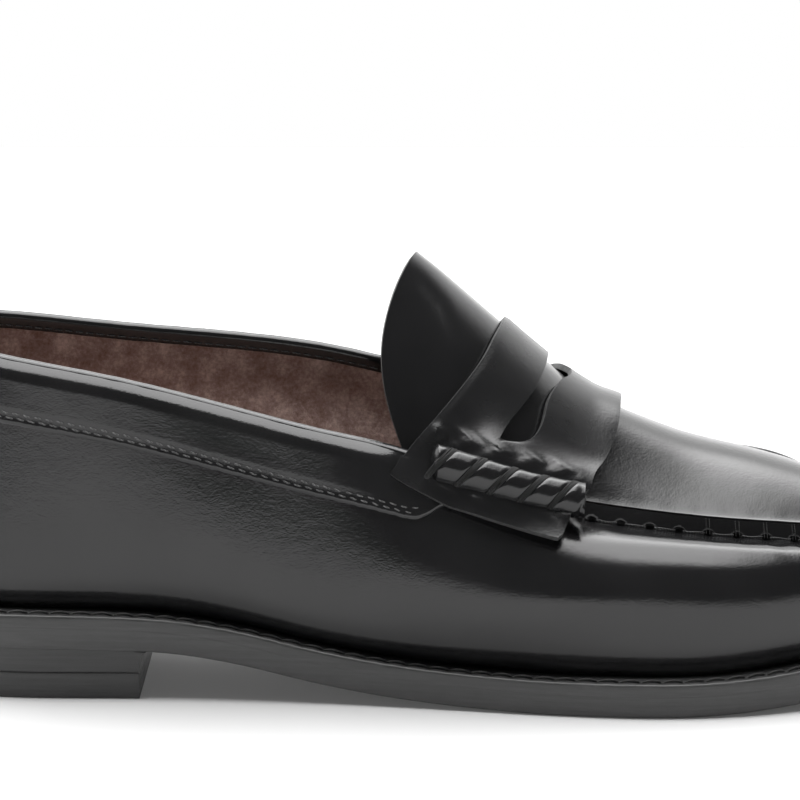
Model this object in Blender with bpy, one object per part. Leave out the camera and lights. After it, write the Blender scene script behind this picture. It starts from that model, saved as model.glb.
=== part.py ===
"""Penny loafer, right shoe, built as its separate pieces: soling, heel, upper, strap, linings and threads.

Lengths in this file are millimetres until to_metres() turns them into Blender's metres. In them x runs from
the back of the heel to the toe, y is negative on the outer (lateral) side, and z is up from the ground.
"""
import math

import bmesh
import bpy
import numpy as np
from mathutils import Matrix

MM = 0.001

# Driving dimensions
MIDDLE_X = 151.5  # middle of the outsole's length, 297 from heel back to toe tip
MIDDLE_Y = -1.5  # middle of its width, 103
GAP = 0.3  # between pieces that touch
OUTSOLE = 5.9
WELT = 3.1
WELT_LEDGE = 5.5  # how far the welt shows outside the upper
WELT_WIDTH = 14.0
WALL = 2.0  # upper leather
FLANGE = 9.0  # upper turned in under the insole
LINING = 0.9
COUNTER = 1.3
PUFF = 0.9
INSOLE = 2.5
SOCK = 1.2
HEEL_FRONT = 74.0
TOP_LIFT = 7.3
COLLAR_DEPTH = 15.2
COLLAR = 1.0
STRAP = 1.7
PLUG = 2.0
PLUG_INSET = 3.0  # from the wall's top edge, so that it butts the wall's thickness
SPLIT_GAP = 1.8  # between tongue and plug, hidden by the strap
ROLL_RADIUS = 3.0
THREAD_RADIUS = 0.55

# Round the shoe from the heel back, along the lateral side to the toe and back along the medial side.
# Each row: sole edge x, y; top edge of the upper x, y, z; how far the wall leans out and drops from that edge;
# how far it leans out and rises from its foot.
STATIONS = np.array([
    (3, 1, 10, 0, 95.6, 4, 26, 6, 6),
    (9, -19, 15, -15, 93.1, 3, 26, 5, 6),
    (30, -32, 36, -25.5, 89.1, 2, 28, 3.5, 6.5),
    (62, -35, 65, -30, 84.2, 2, 32, 3, 6.5),
    (95, -36.5, 94, -32, 77.4, 2.4, 22.5, 8.2, 5.6),
    (125, -39.5, 122, -33.5, 70.3, 3.4, 30, 6.6, 2.8),
    (155, -44.5, 150, -33.5, 63.9, 10.5, 20, 9, 11),
    (182, -50, 178, -31, 55.5, 19, 18, 6, 22),
    (207, -53, 204, -27.5, 50.2, 26, 11, 1.9, 23),
    (232, -50.5, 227, -25.5, 47.2, 25, 6.6, 1.7, 19.5),
    (257, -41.5, 248, -22, 45, 21, 5, 2, 16.5),
    (279, -29.5, 266, -15.5, 42.3, 16.5, 4, 2.6, 16.8),
    (294, -13, 275, -5.5, 40.4, 15, 2, 3.4, 17),
    (300, 4, 278, 4, 40, 14, 1.5, 3.7, 18.5),
    (295.5, 20, 275, 13, 41.2, 15, 2, 3.2, 18.5),
    (281, 31.5, 264, 20.5, 45.5, 16, 4, 2.5, 17.6),
    (259, 41, 248, 24, 53, 18, 8, 2.3, 18.5),
    (235, 47, 228, 25.5, 57.5, 21, 11, 2, 19.5),
    (209, 50, 204, 28, 62, 19, 14, 2.4, 18),
    (182, 45, 178, 30.5, 68, 9, 16, 4.5, 11),
    (155, 37, 150, 32, 76, 2.5, 19, 6.3, 6),
    (125, 31, 122, 31.5, 83.4, 1, 20, 6, 6),
    (95, 31, 94, 30.5, 87.2, 1, 22, 6, 6),
    (62, 33, 65, 29, 90, 1.5, 28, 4, 6.5),
    (30, 32, 36, 25, 93.5, 2, 28, 3.5, 6.5),
    (9, 19, 15, 15, 95.6, 3, 26, 5, 6),
], float)
# Under side of the outsole from heel to toe: x, z, slope. It lies flat on the ground under the ball.
SOLE_LINE = np.array([
    (0, 14.0, -0.01),
    (64, 13.6, -0.03),
    (87, 12.1, -0.13),
    (101, 9.8, -0.2),
    (121, 5.4, -0.19),
    (142, 2.2, -0.11),
    (165, 0.5, -0.04),
    (182, 0, 0),
    (212, 0, 0),
    (250, 2.0, 0.09),
    (301, 9.5, 0.2),
], float)
# Crown of the apron and tongue: x, z
CROWN = np.array([
    (136, 124), (147, 114.7), (158, 105), (170, 94.3), (182, 84), (192, 76.8), (202, 71.5),
    (211, 67.6), (221, 63.9), (236, 60.2), (250, 56.4), (262, 52), (271, 47), (279, 42),
], float)
# Tongue and strap: share of the way from the crown to either seam (-1 lateral, 1 medial), x
TONGUE_REAR = [
    (-1, 143.3), (-0.92, 140.1), (-0.8, 137.8), (-0.62, 139.3), (-0.36, 143.7),
    (0, 147.2), (0.35, 146.0), (0.7, 141.8), (0.85, 141.2), (1, 144.0),
]
STRAP_REAR = [
    (-1, 143.2), (-0.915, 149.0), (-0.815, 154.5), (-0.7, 159.2), (-0.535, 163.8), (-0.385, 166.2),
    (-0.15, 168.6), (0.1, 169.4), (0.3, 169.0), (0.6, 165.5), (0.8, 158.5), (1, 143.2),
]
STRAP_FRONT = [
    (-1, 190.6), (-0.88, 192.6), (-0.81, 194.8), (-0.655, 198.0), (-0.54, 199.2), (-0.255, 200.5),
    (0, 201.2), (0.3, 201.2), (0.6, 199.6), (0.8, 196.0), (1, 190.6),
]
SLOT_REAR = [
    (-1, 163.5), (-0.86, 167.5), (-0.7, 172.8), (-0.53, 177.0), (-0.405, 178.8), (-0.1, 180.8),
    (0.2, 181.0), (0.5, 179.0), (0.7, 174.8), (0.86, 169.5), (1, 165.0),
]
# Share of the way from the crown to the seam, width
SLOT_WIDTH = [
    (0, 6.4), (0.2, 5.9), (0.3, 4.6), (0.385, 4.1), (0.55, 4.1), (0.65, 5.5), (0.75, 7.0), (0.86, 7.4), (1, 7.4),
]
WALL_HEIGHTS = np.array([0, 0.1, 0.22, 0.36, 0.5, 0.64, 0.77, 0.89, 1.0])  # shared lines up the wall
RINGS = 64  # cross-sections round the shoe, closer together at heel and toe
PLUG_END = 275.0
STRAP_SEAM = (143.2, 190.6)  # rear and front edge where the strap crosses the seam
STRAP_TAB = (140.2, 186.2)  # the same edges at the bottom of the tab
TAB_DEPTH = 9.5
SLOT_END = 0.868  # of the way from crown to seam
HINGE = (162.0, 0.0, 88.0)


def spline_slopes(knots, rows, period=None):
    """Second derivatives of the cubic spline through rows; closed when a period is given."""
    count = len(knots)
    matrix = np.eye(count)
    right = np.zeros_like(rows)
    for i in range(count):
        if period is None and i in (0, count - 1):
            continue
        before, after = (i - 1) % count, (i + 1) % count
        left = (knots[i] - knots[before]) % (period or 1e9)
        ahead = (knots[after] - knots[i]) % (period or 1e9)
        matrix[i, i] = 2 * (left + ahead)
        matrix[i, before] = left
        matrix[i, after] = ahead
        right[i] = 6 * ((rows[after] - rows[i]) / ahead - (rows[i] - rows[before]) / left)
    return np.linalg.solve(matrix, right)


class Spline:
    """A smooth curve through rows of numbers, read at one or many parameters."""

    def __init__(self, knots, rows, closed=False):
        self.closed = closed
        self.knots = np.asarray(knots, float)
        self.rows = np.asarray(rows, float).reshape(len(self.knots), -1)
        self.bends = spline_slopes(self.knots, self.rows, 1.0 if closed else None)
        if closed:
            self.knots = np.append(self.knots, self.knots[0] + 1)
            self.rows = np.vstack([self.rows, self.rows[:1]])
            self.bends = np.vstack([self.bends, self.bends[:1]])

    def __call__(self, where):
        where = np.asarray(where, float)
        if self.closed:
            where = where % 1.0
        i = np.clip(np.searchsorted(self.knots, where, side="right") - 1, 0, len(self.knots) - 2)
        width = (self.knots[i + 1] - self.knots[i])[..., None]
        b = (where - self.knots[i])[..., None] / width
        a = 1 - b
        curve = ((a**3 - a) * self.bends[i] + (b**3 - b) * self.bends[i + 1]) * width**2 / 6
        return a * self.rows[i] + b * self.rows[i + 1] + curve


def chord_knots(points):
    steps = np.linalg.norm(np.roll(points, -1, axis=0) - points, axis=1)
    return np.concatenate([[0], np.cumsum(steps)[:-1]]) / steps.sum()


ROUND = Spline(chord_knots(STATIONS[:, :2]), STATIONS, closed=True)
CROWN_LINE = Spline(CROWN[:, 0], CROWN[:, 1])


def line_through(pairs):
    table = np.array(pairs, float)
    return Spline(table[:, 0], table[:, 1])


def sole_bottom(x):
    """Height of the outsole's under side."""
    knots, heights, slopes = SOLE_LINE.T
    x = np.clip(x, knots[0], knots[-1])
    i = np.clip(np.searchsorted(knots, x, side="right") - 1, 0, len(knots) - 2)
    width = knots[i + 1] - knots[i]
    s = (x - knots[i]) / width
    start = (1 + 2 * s) * (1 - s) ** 2 * heights[i] + s * (1 - s) ** 2 * width * slopes[i]
    end = s**2 * (3 - 2 * s) * heights[i + 1] - s**2 * (1 - s) * width * slopes[i + 1]
    return start + end


def unit(v):
    return v / np.maximum(np.linalg.norm(v, axis=-1, keepdims=True), 1e-9)


def outline(u, inset=0.0):
    """Plan points (x, y) of the sole edge moved inwards."""
    step = 1e-3
    along = unit(ROUND(u + step)[..., :2] - ROUND(u - step)[..., :2])
    inward = np.stack([-along[..., 1], along[..., 0]], axis=-1)
    return ROUND(u)[..., :2] + inward * inset


FINE = np.linspace(0, 1, 1441)
FINE_ROUND = ROUND(FINE)


def shared_rings():
    """The places round the shoe where every layer has its cross-sections, so that layers stay parallel."""
    share = np.arange(RINGS) / RINGS
    return share - 0.5 * np.sin(4 * math.pi * share) / (4 * math.pi)


U_RINGS = shared_rings()


def u_at_top_x(x, medial=False):
    """Where round the shoe the upper's top edge has this x."""
    side = (FINE >= 0.5) if medial else (FINE <= 0.5)
    order = np.argsort(FINE_ROUND[side, 2])
    return np.interp(x, FINE_ROUND[side, 2][order], FINE[side][order])


def wall(u, t):
    """The upper's outer surface: u round the shoe, t from the welt (0) to the top edge (1)."""
    u, t = np.broadcast_arrays(np.asarray(u, float), np.asarray(t, float))
    row = ROUND(u)
    out = unit(row[..., :2] - outline(u, 1.0))
    foot = np.empty(u.shape + (3,))
    foot[..., :2] = outline(u, WELT_LEDGE)
    foot[..., 2] = sole_bottom(foot[..., 0]) + OUTSOLE + WELT + 2 * GAP
    lower = foot + np.concatenate([out * row[..., 7:8], row[..., 8:9]], axis=-1)
    top = row[..., 2:5]
    upper = top + np.concatenate([out * row[..., 5:6], -row[..., 6:7]], axis=-1)
    s = t[..., None]
    return (1 - s) ** 3 * foot + 3 * (1 - s) ** 2 * s * lower + 3 * (1 - s) * s**2 * upper + s**3 * top


def apron(x, q):
    """Surface of apron and tongue: q from the lateral seam (-1) to the medial one (1), a parabola under the crown."""
    x, q = np.broadcast_arrays(np.asarray(x, float), np.asarray(q, float))
    low = ROUND(u_at_top_x(x))[..., 2:5]
    high = ROUND(u_at_top_x(x, medial=True))[..., 2:5]
    crown = np.maximum(CROWN_LINE(x)[..., 0], high[..., 2] + 0.8)
    ratio = np.sqrt((crown - low[..., 2]) / (crown - high[..., 2]))
    middle = low[..., 1] + (high[..., 1] - low[..., 1]) * ratio / (1 + ratio)
    y = np.where(q < 0, middle + (low[..., 1] - middle) * -q, middle + (high[..., 1] - middle) * q)
    z = crown - (crown - low[..., 2]) * ((y - middle) / (low[..., 1] - middle)) ** 2
    return np.stack([x, y, z], axis=-1)


def normals(grid, closed=False):
    """Unit normals of a grid of points, pointing out of the shoe."""
    if closed:
        along = np.roll(grid, -1, axis=0) - np.roll(grid, 1, axis=0)
    else:
        along = np.gradient(grid, axis=0)
    return unit(np.cross(along, np.gradient(grid, axis=1)))


def offset(grid, distance, closed=False):
    distance = np.asarray(distance, float)
    return grid + normals(grid, closed) * (distance[..., None] if distance.ndim else distance)


# ---------------------------------------------------------------- objects

def material(name, colour, roughness, metallic=0.0):
    made = bpy.data.materials.new(name)
    made.use_nodes = True
    shader = made.node_tree.nodes["Principled BSDF"]
    shader.inputs["Base Color"].default_value = (*colour, 1)
    shader.inputs["Roughness"].default_value = roughness
    shader.inputs["Metallic"].default_value = metallic
    made.diffuse_color = (*colour, 1)
    return made


def to_metres(points):
    return (np.asarray(points, float) - (MIDDLE_X, MIDDLE_Y, 0)) * MM


def add_object(name, points, faces, look, smooth=True):
    """A mesh object from points in millimetres."""
    mesh = bpy.data.meshes.new(name)
    mesh.from_pydata([tuple(p) for p in to_metres(points)], [], [tuple(int(i) for i in f) for f in faces])
    work = bmesh.new()
    work.from_mesh(mesh)
    bmesh.ops.recalc_face_normals(work, faces=work.faces)
    work.to_mesh(mesh)
    work.free()
    mesh.materials.append(look)
    if smooth:
        mesh.shade_smooth()
        mesh.set_sharp_from_angle(angle=math.radians(40))
    made = bpy.data.objects.new(name, mesh)
    bpy.context.scene.collection.objects.link(made)
    made.parent = shoe
    return made


def sheet(name, outer, inner, look, closed=False, skip=()):
    """A closed solid between two matching grids of points; skip lists (i, j) cells left open as a hole."""
    rows, columns = outer.shape[:2]
    points = np.concatenate([outer.reshape(-1, 3), inner.reshape(-1, 3)])
    far = rows * columns
    cells = {(i, j) for i in range(rows if closed else rows - 1) for j in range(columns - 1)} - set(skip)

    def corner(i, j):
        return (i % rows) * columns + j

    faces = []
    for i, j in sorted(cells):
        quad = [corner(i, j), corner(i + 1, j), corner(i + 1, j + 1), corner(i, j + 1)]
        faces.append(quad)
        faces.append([far + k for k in reversed(quad)])
        before = (i - 1) % rows if closed else i - 1
        after = (i + 1) % rows if closed else i + 1
        sides = [((i, j - 1), 0, 1), ((after, j), 1, 2), ((i, j + 1), 2, 3), ((before, j), 3, 0)]
        for neighbour, a, b in sides:
            if neighbour not in cells:
                faces.append([quad[b], quad[a], far + quad[a], far + quad[b]])
    made = add_object(name, points, faces, look)
    drop_loose(made)
    return made


def drop_loose(made):
    work = bmesh.new()
    work.from_mesh(made.data)
    bmesh.ops.delete(work, geom=[v for v in work.verts if not v.link_faces], context="VERTS")
    work.to_mesh(made.data)
    work.free()


def ring(name, sections, look, closed=True):
    """A solid swept through sections, an array (count, corners, 3)."""
    count, corners = sections.shape[:2]
    faces = []
    for i in range(count if closed else count - 1):
        for j in range(corners):
            a, b = i * corners, ((i + 1) % count) * corners
            k = (j + 1) % corners
            faces.append([a + j, a + k, b + k, b + j])
    if not closed:
        faces += [list(range(corners)), list(range((count - 1) * corners, count * corners))]
    return add_object(name, sections.reshape(-1, 3), faces, look)


def tube(name, path, radius, look, sides=5, closed=False):
    """A thread of round section along a path."""
    along = unit(np.roll(path, -1, 0) - np.roll(path, 1, 0)) if closed else unit(np.gradient(path, axis=0))
    across = unit(np.cross(along, (0.03, 0.1, 1.0)))
    up = np.cross(across, along)
    turn = np.arange(sides) * 2 * math.pi / sides
    sections = (
        path[:, None]
        + across[:, None] * (radius * np.cos(turn))[None, :, None]
        + up[:, None] * (radius * np.sin(turn))[None, :, None]
    )
    return ring(name, sections, look, closed)


def sole_rows(inset, x_from=None, x_to=None):
    """Pairs of (lateral, medial) plan points along the shoe, and the end points where an end is round."""
    samples = outline(U_RINGS, inset)
    tip = RINGS // 2
    pairs = [(samples[i], samples[RINGS - i]) for i in range(1, tip)]
    ends = [samples[0], samples[tip]]
    if x_from is not None:
        pairs = [p for p in pairs if min(p[0][0], p[1][0]) > x_from + 2]
        pairs.insert(0, cut_row(inset, x_from))
        ends[0] = None
    if x_to is not None:
        pairs = [p for p in pairs if max(p[0][0], p[1][0]) < x_to - 2]
        pairs.append(cut_row(inset, x_to))
        ends[1] = None
    return pairs, ends


def cut_row(inset, x):
    fine = outline(FINE, inset)
    row = []
    for side in (FINE <= 0.5, FINE >= 0.5):
        order = np.argsort(fine[side, 0])
        row.append(np.array([x, np.interp(x, fine[side, 0][order], fine[side, 1][order])]))
    return tuple(row)


def plate(name, low_inset, high_inset, low, high, look, x_from=None, x_to=None, across=4):
    """A solid between two heights, low(x) and high(x), whose edge may taper from one inset to the other."""
    layers = []
    for inset, height in ((low_inset, low), (high_inset, high)):
        pairs, ends = sole_rows(inset, x_from, x_to)
        share = np.linspace(0, 1, across + 1)[:, None]
        rows = [a * (1 - share) + b * share for a, b in pairs]
        plan = [np.atleast_2d(ends[0])] if ends[0] is not None else []
        plan += rows
        plan += [np.atleast_2d(ends[1])] if ends[1] is not None else []
        layers.append([np.column_stack([p, height(p[:, 0])]) for p in plan])
    points = np.concatenate([np.concatenate(layer) for layer in layers])
    starts = np.concatenate([[0], np.cumsum([len(r) for r in layers[0]])])
    total = starts[-1]
    faces = []

    def both(face):
        faces.append(face)
        faces.append([total + k for k in reversed(face)])

    def side(a, b):
        faces.append([a, b, total + b, total + a])

    for i in range(len(layers[0]) - 1):
        a, b = starts[i], starts[i + 1]
        here, there = len(layers[0][i]), len(layers[0][i + 1])
        for j in range(across):
            if here == 1:
                both([a, b + j, b + j + 1])
            elif there == 1:
                both([a + j, b, a + j + 1])
            else:
                both([a + j, b + j, b + j + 1, a + j + 1])
        side(a, b)
        side(b + there - 1, a + here - 1)
    if len(layers[0][0]) > 1:
        for j in range(across):
            side(j, j + 1)
    if len(layers[0][-1]) > 1:
        for j in range(across):
            side(starts[-2] + j, starts[-2] + j + 1)
    return add_object(name, points, faces, look)


def strip_round(name, profile, look):
    """A strip that runs all round the sole: profile lists (inset, height above the outsole's under side)."""
    corners = []
    for inset, height in profile:
        plan = outline(U_RINGS, inset)
        corners.append(np.column_stack([plan, sole_bottom(plan[:, 0]) + height]))
    return ring(name, np.stack(corners, axis=1), look)


def cut(target, cutter, name):
    """Subtracts a helper solid from a piece."""
    change = target.modifiers.new(name, "BOOLEAN")
    change.operation = "DIFFERENCE"
    change.solver = "EXACT"
    change.object = cutter


# ---------------------------------------------------------------- pieces

def soling(looks):
    top = OUTSOLE
    outsole = plate("outsole", 0.8, 0.0, sole_bottom, lambda x: sole_bottom(x) + top, looks["sole"])
    strip_round("welt", [(0, top + GAP), (0, top + GAP + WELT - 0.6), (0.6, top + GAP + WELT),
                         (WELT_WIDTH, top + GAP + WELT), (WELT_WIDTH, top + GAP)], looks["sole"])
    seat = top + WELT + 3 * GAP + WALL  # upper face of the turned-in leather
    insole = plate("insole_board", 9.8, 9.8, lambda x: sole_bottom(x) + seat,
                   lambda x: sole_bottom(x) + seat + INSOLE, looks["board"])
    sock_low = seat + INSOLE + 1.4
    plate("sock_liner", 11, 11, lambda x: sole_bottom(x) + sock_low,
          lambda x: sole_bottom(x) + sock_low + SOCK, looks["sock"])
    plate("cork_filler", WELT_WIDTH + 3, WELT_WIDTH + 3, lambda x: sole_bottom(x) + top + GAP,
          lambda x: sole_bottom(x) + seat - GAP, looks["cork"], x_from=155)
    return outsole, insole, seat


def shank(looks):
    """Spring-steel strip under the waist of the insole, with a stiffening rib along it."""
    x = np.linspace(58, 148, 19)
    middle = 2.0 * (x - 58) / 90
    floor = sole_bottom(x) + OUTSOLE + 1.2
    section = [(-6, 0), (-2, 0), (0, 1.3), (2, 0), (6, 0), (6, 1.4), (2, 1.4), (0, 2.7), (-2, 1.4), (-6, 1.4)]
    rows = [[(xi, yi + dy, zi + dz) for dy, dz in section] for xi, yi, zi in zip(x, middle, floor)]
    ring("shank", np.array(rows), looks["steel"], closed=False)


def heel(looks, outsole, insole, seat):
    base = plate("heel_base", 2.2, 1.0, lambda x: np.full_like(x, TOP_LIFT + GAP),
                 lambda x: sole_bottom(x) - GAP, looks["heel"], x_to=HEEL_FRONT)
    plate("top_lift", 3.0, 2.3, np.zeros_like, lambda x: np.full_like(x, TOP_LIFT), looks["lift"],
          x_to=HEEL_FRONT - 0.6)
    spots = [outline(u, 22.0) for u in (0.0, 0.045, 0.105, 0.955, 0.895)]
    for n, (x, y) in enumerate(spots, 1):
        head = float(sole_bottom(x)) + seat + INSOLE
        nail(f"heel_nail_{n}", x, y, head + GAP, looks["steel"])
        hole = cylinder(f"nail_{n}_hole", x, y, 9.0, head + 3, 1.25, looks["steel"])
        hole.hide_render = True
        hole.display_type = "WIRE"
        for piece in (outsole, insole, base):
            cut(piece, hole, f"nail_{n}")


def cylinder(name, x, y, low, high, radius, look, sides=8):
    turn = np.arange(sides) * 2 * math.pi / sides
    circle = np.column_stack([x + radius * np.cos(turn), y + radius * np.sin(turn)])
    sections = np.stack([np.column_stack([circle, np.full(sides, z)]) for z in (low, high)])
    return ring(name, sections, look, closed=False)


def nail(name, x, y, head, look, sides=8):
    """A round-headed nail driven down through insole, outsole and heel base."""
    turn = np.arange(sides) * 2 * math.pi / sides
    levels = [(0.15, 10.2), (0.9, 12.2), (0.9, head), (2.1, head), (2.1, head + 0.8)]
    sections = np.stack([
        np.column_stack([x + r * np.cos(turn), y + r * np.sin(turn), np.full(sides, z)]) for r, z in levels
    ])
    ring(name, sections, look, closed=False)


def turned_in_rows(u):
    """The leather turned in flat under the insole, as rows of points from its inner edge to the feather."""
    rows = []
    for inset in (WELT_LEDGE + FLANGE, WELT_LEDGE + 3.5):
        plan = outline(u, inset)
        rows.append(np.column_stack([plan, sole_bottom(plan[:, 0]) + OUTSOLE + WELT + 2 * GAP]))
    return rows


def vamp(looks):
    """The one-piece wrap of leather: wall all round the shoe, its foot turned in on the welt."""
    u = U_RINGS
    side = wall(u[:, None], WALL_HEIGHTS[None, :])
    inner_side = offset(side, -WALL, closed=True)
    flange = np.stack(turned_in_rows(u), axis=1)
    outer = np.concatenate([flange, side], axis=1)
    raised = flange + (0, 0, WALL)
    corner = outline(u, WELT_LEDGE + WALL)
    inner_side[:, 0, :2] = corner
    inner_side[:, 0, 2] = raised[:, 1, 2]
    sheet("vamp_wall", outer, np.concatenate([raised, inner_side], axis=1), looks["leather"], closed=True)


def wall_patch(name, u, t_low, t_high, from_depth, to_depth, look, steps=6):
    """A layer that follows part of the wall, between two depths measured along its normals."""
    share = np.linspace(0, 1, steps)[None, :]
    low, high = np.asarray(t_low, float), np.asarray(t_high, float)
    t = np.atleast_1d(low)[:, None] * (1 - share) + np.atleast_1d(high)[:, None] * share
    grid = wall(u[:, None], np.broadcast_to(t, (len(u), steps)))
    sheet(name, offset(grid, from_depth), offset(grid, to_depth), look)


def span(x, by_toe=False):
    """Cross-sections round the heel, or round the toe, between the lateral and medial points with this x."""
    lateral = float(u_at_top_x(x))
    medial = float(u_at_top_x(x, medial=True))
    start, end = (lateral, medial) if by_toe else (medial - 1, lateral)
    shared = np.concatenate([U_RINGS - 1, U_RINGS])
    clear = 0.3 / RINGS
    inside = shared[(shared > start + clear) & (shared < end - clear)]
    return np.concatenate([[start], inside, [end]])


def t_below_top(u, drop):
    """Where on the wall a height this far below its top edge lies."""
    t = np.linspace(0, 1, 121)
    z = wall(np.asarray(u)[:, None], t[None, :])[..., 2]
    return np.array([np.interp(row[-1] - d, row, t) for row, d in zip(z, np.broadcast_to(drop, len(z)))])


def layer(name, u, t, from_depth, to_depth, look):
    """A layer inside the wall, on the wall's own lines, between two depths given for each height."""
    grid = wall(u[:, None], np.asarray(t)[None, :])
    shape = grid.shape[:2]
    sheet(name, offset(grid, -np.broadcast_to(from_depth, shape)), offset(grid, -np.broadcast_to(to_depth, shape)),
          look)


def linings(looks):
    """Counter and toe puff lie against the wall; the linings lie inside them and close on the wall at the top."""
    heights = WALL_HEIGHTS[1:-1]
    against_wall = WALL + GAP
    layer("heel_counter", span(70), heights[:5], against_wall, against_wall + COUNTER, looks["board"])
    layer("toe_puff", span(236, by_toe=True), heights[1:5], against_wall, against_wall + PUFF, looks["board"])
    over_counter = against_wall + COUNTER + GAP
    up_the_side = np.append(heights, 0.99)
    depth = np.where(up_the_side < 0.7, over_counter, against_wall)
    depth[up_the_side == heights[5]] = (over_counter + against_wall) / 2
    layer("quarter_lining", span(144), up_the_side, depth, depth + LINING, looks["suede"])
    over_puff = against_wall + PUFF + GAP
    layer("vamp_lining", span(156, by_toe=True), heights[:5], over_puff, over_puff + 0.6, looks["canvas"])


def collar(looks):
    u = span(146)
    wall_patch("collar_band", u, t_below_top(u, COLLAR_DEPTH), 0.997, GAP + COLLAR, GAP, looks["leather"], steps=4)
    for name, drop in (("collar_thread_upper", COLLAR_DEPTH - 3.4), ("collar_thread_lower", COLLAR_DEPTH - 2.0)):
        grid = wall(u[:, None], t_below_top(u, drop)[:, None] + np.array([-0.02, 0, 0.02]))
        path = offset(grid, GAP * 2 + COLLAR + 0.3)[2:-2, 1]
        tube(name, path, 0.25, looks["thread"], sides=4)


def binding(looks):
    """Thin leather rolled over the topline: a bead on top and a flap stitched down inside."""
    u = span(140.5)
    top = ROUND(u)[:, 2:5]
    out = unit(ROUND(u)[:, :2] - outline(u, 1.0))
    profile = [(1.5, 0.35), (1.4, 1.2), (0.5, 1.7), (-3.4, 1.7), (-4.5, 0.9), (-4.6, -4.2), (-3.8, -4.2), (-3.6, 0.35)]
    corners = [
        np.column_stack([top[:, :2] + out * away, top[:, 2] + height]) for away, height in profile
    ]
    ring("topline_binding", np.stack(corners, axis=1), looks["leather"], closed=False)


def backstay(looks):
    """Strip of leather that covers the back seam under the collar."""
    u = np.concatenate([U_RINGS[-2:] - 1, U_RINGS[:3]])
    wall_patch("backstay", u, 0.06, t_below_top(u, COLLAR_DEPTH + 0.8), GAP + 1.1, GAP, looks["leather"], steps=7)


def apron_pieces(looks):
    # Apron: its rear edge follows the strap's rear edge, a little in front of it
    q = np.linspace(-1, 1, 13)
    rear = line_through(STRAP_REAR)(q)[:, 0] + 3.0
    front = PLUG_END
    share = 1 - (1 - np.linspace(0, 1, 14)) ** 1.5
    x = rear[None, :] + (front - rear)[None, :] * share[:, None]
    grid = apron(x, q[None, :])
    middle = grid[:, 6:7, 1]
    narrow = 1 - PLUG_INSET / np.abs(grid[:, [0, -1], 1] - middle).mean(axis=1)
    grid[..., 1] = middle + (grid[..., 1] - middle) * narrow[:, None]
    grid[..., 2] -= 0.6
    sheet("plug", grid, grid - (0, 0, PLUG), looks["leather"])


def tongue(looks):
    """The free rear end of the apron leather; it swings about the axis at the strap's rear edge."""
    q = np.linspace(-1, 1, 13)
    front = line_through(STRAP_REAR)(q)[:, 0] + 3.0 - SPLIT_GAP
    tip = np.minimum(line_through(TONGUE_REAR)(q)[:, 0], front - 4)
    share = np.linspace(0, 1, 9)[:, None]
    x = tip[None, :] * (1 - share) + front[None, :] * share
    grid = apron(x, q[None, :])
    middle = grid[:, 6:7, 1]
    inset = 5.6 * (1 - share) + 3.2 * share
    narrow = 1 - inset / np.abs(grid[:, [0, -1], 1] - middle).mean(axis=1)[:, None]
    grid[..., 1] = middle + (grid[..., 1] - middle) * narrow
    grid[..., 2] -= 0.5
    made = sheet("tongue", grid, offset(grid, -1.8), looks["leather"])
    hinge = bpy.data.objects.new("tongue_hinge", None)
    bpy.context.scene.collection.objects.link(hinge)
    hinge.location = to_metres(HINGE)
    made.parent = hinge
    made.matrix_parent_inverse = Matrix.Translation(-hinge.location)


def strap_grid(steps=31):
    """Reference surface of the strap: tab on the lateral wall, over the apron, tab on the medial wall."""
    q = np.linspace(-1, 1, steps)
    rear, front = line_through(STRAP_REAR)(q)[:, 0], line_through(STRAP_FRONT)(q)[:, 0]
    rear_lip = line_through(SLOT_REAR)(q)[:, 0]
    front_lip = rear_lip + line_through(SLOT_WIDTH)(np.abs(q))[:, 0]
    lines = [rear, (rear + rear_lip) / 2, rear_lip, front_lip, (front_lip + front) / 2, front]
    x = np.stack(lines, axis=1)
    grid = apron(x, q[:, None])
    return q, grid


def tab_rows(medial):
    """Strap points on the wall, from the tab's bottom edge up to just under the seam."""
    rows = []
    for share in (1.0, 0.5):
        low, high = STRAP_TAB[0], STRAP_TAB[1]
        rear = STRAP_SEAM[0] + (low - STRAP_SEAM[0]) * share
        front = STRAP_SEAM[1] + (high - STRAP_SEAM[1]) * share
        along = np.array([0, 0.215, 0.43, 0.585, 0.79, 1.0])
        x = rear + (front - rear) * along
        u = u_at_top_x(x, medial)
        depth = TAB_DEPTH * (0.55 + 0.45 * np.minimum(1, along / 0.33) ** 0.7)
        rows.append(wall(u, t_below_top(u, depth * share)))
    return rows


def penny_strap(looks):
    q, over = strap_grid()
    lateral = np.stack(tab_rows(False))
    medial = np.stack(tab_rows(True))[::-1]
    grid = np.concatenate([lateral, over, medial]).transpose(1, 0, 2)
    lift = np.full(grid.shape[1], 0.9)
    lift[:4] = lift[-4:] = 1.7
    lift[4] = lift[-5] = 1.3
    base = offset(grid, np.broadcast_to(lift, grid.shape[:2]))
    top = offset(grid, np.broadcast_to(lift + STRAP, grid.shape[:2]))
    first = len(lateral)
    open_cells = [
        (2, first + i) for i in range(len(q) - 1) if abs(q[i]) <= SLOT_END and abs(q[i + 1]) <= SLOT_END
    ]
    sheet("penny_strap", top, base, looks["leather"], skip=open_cells)


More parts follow.
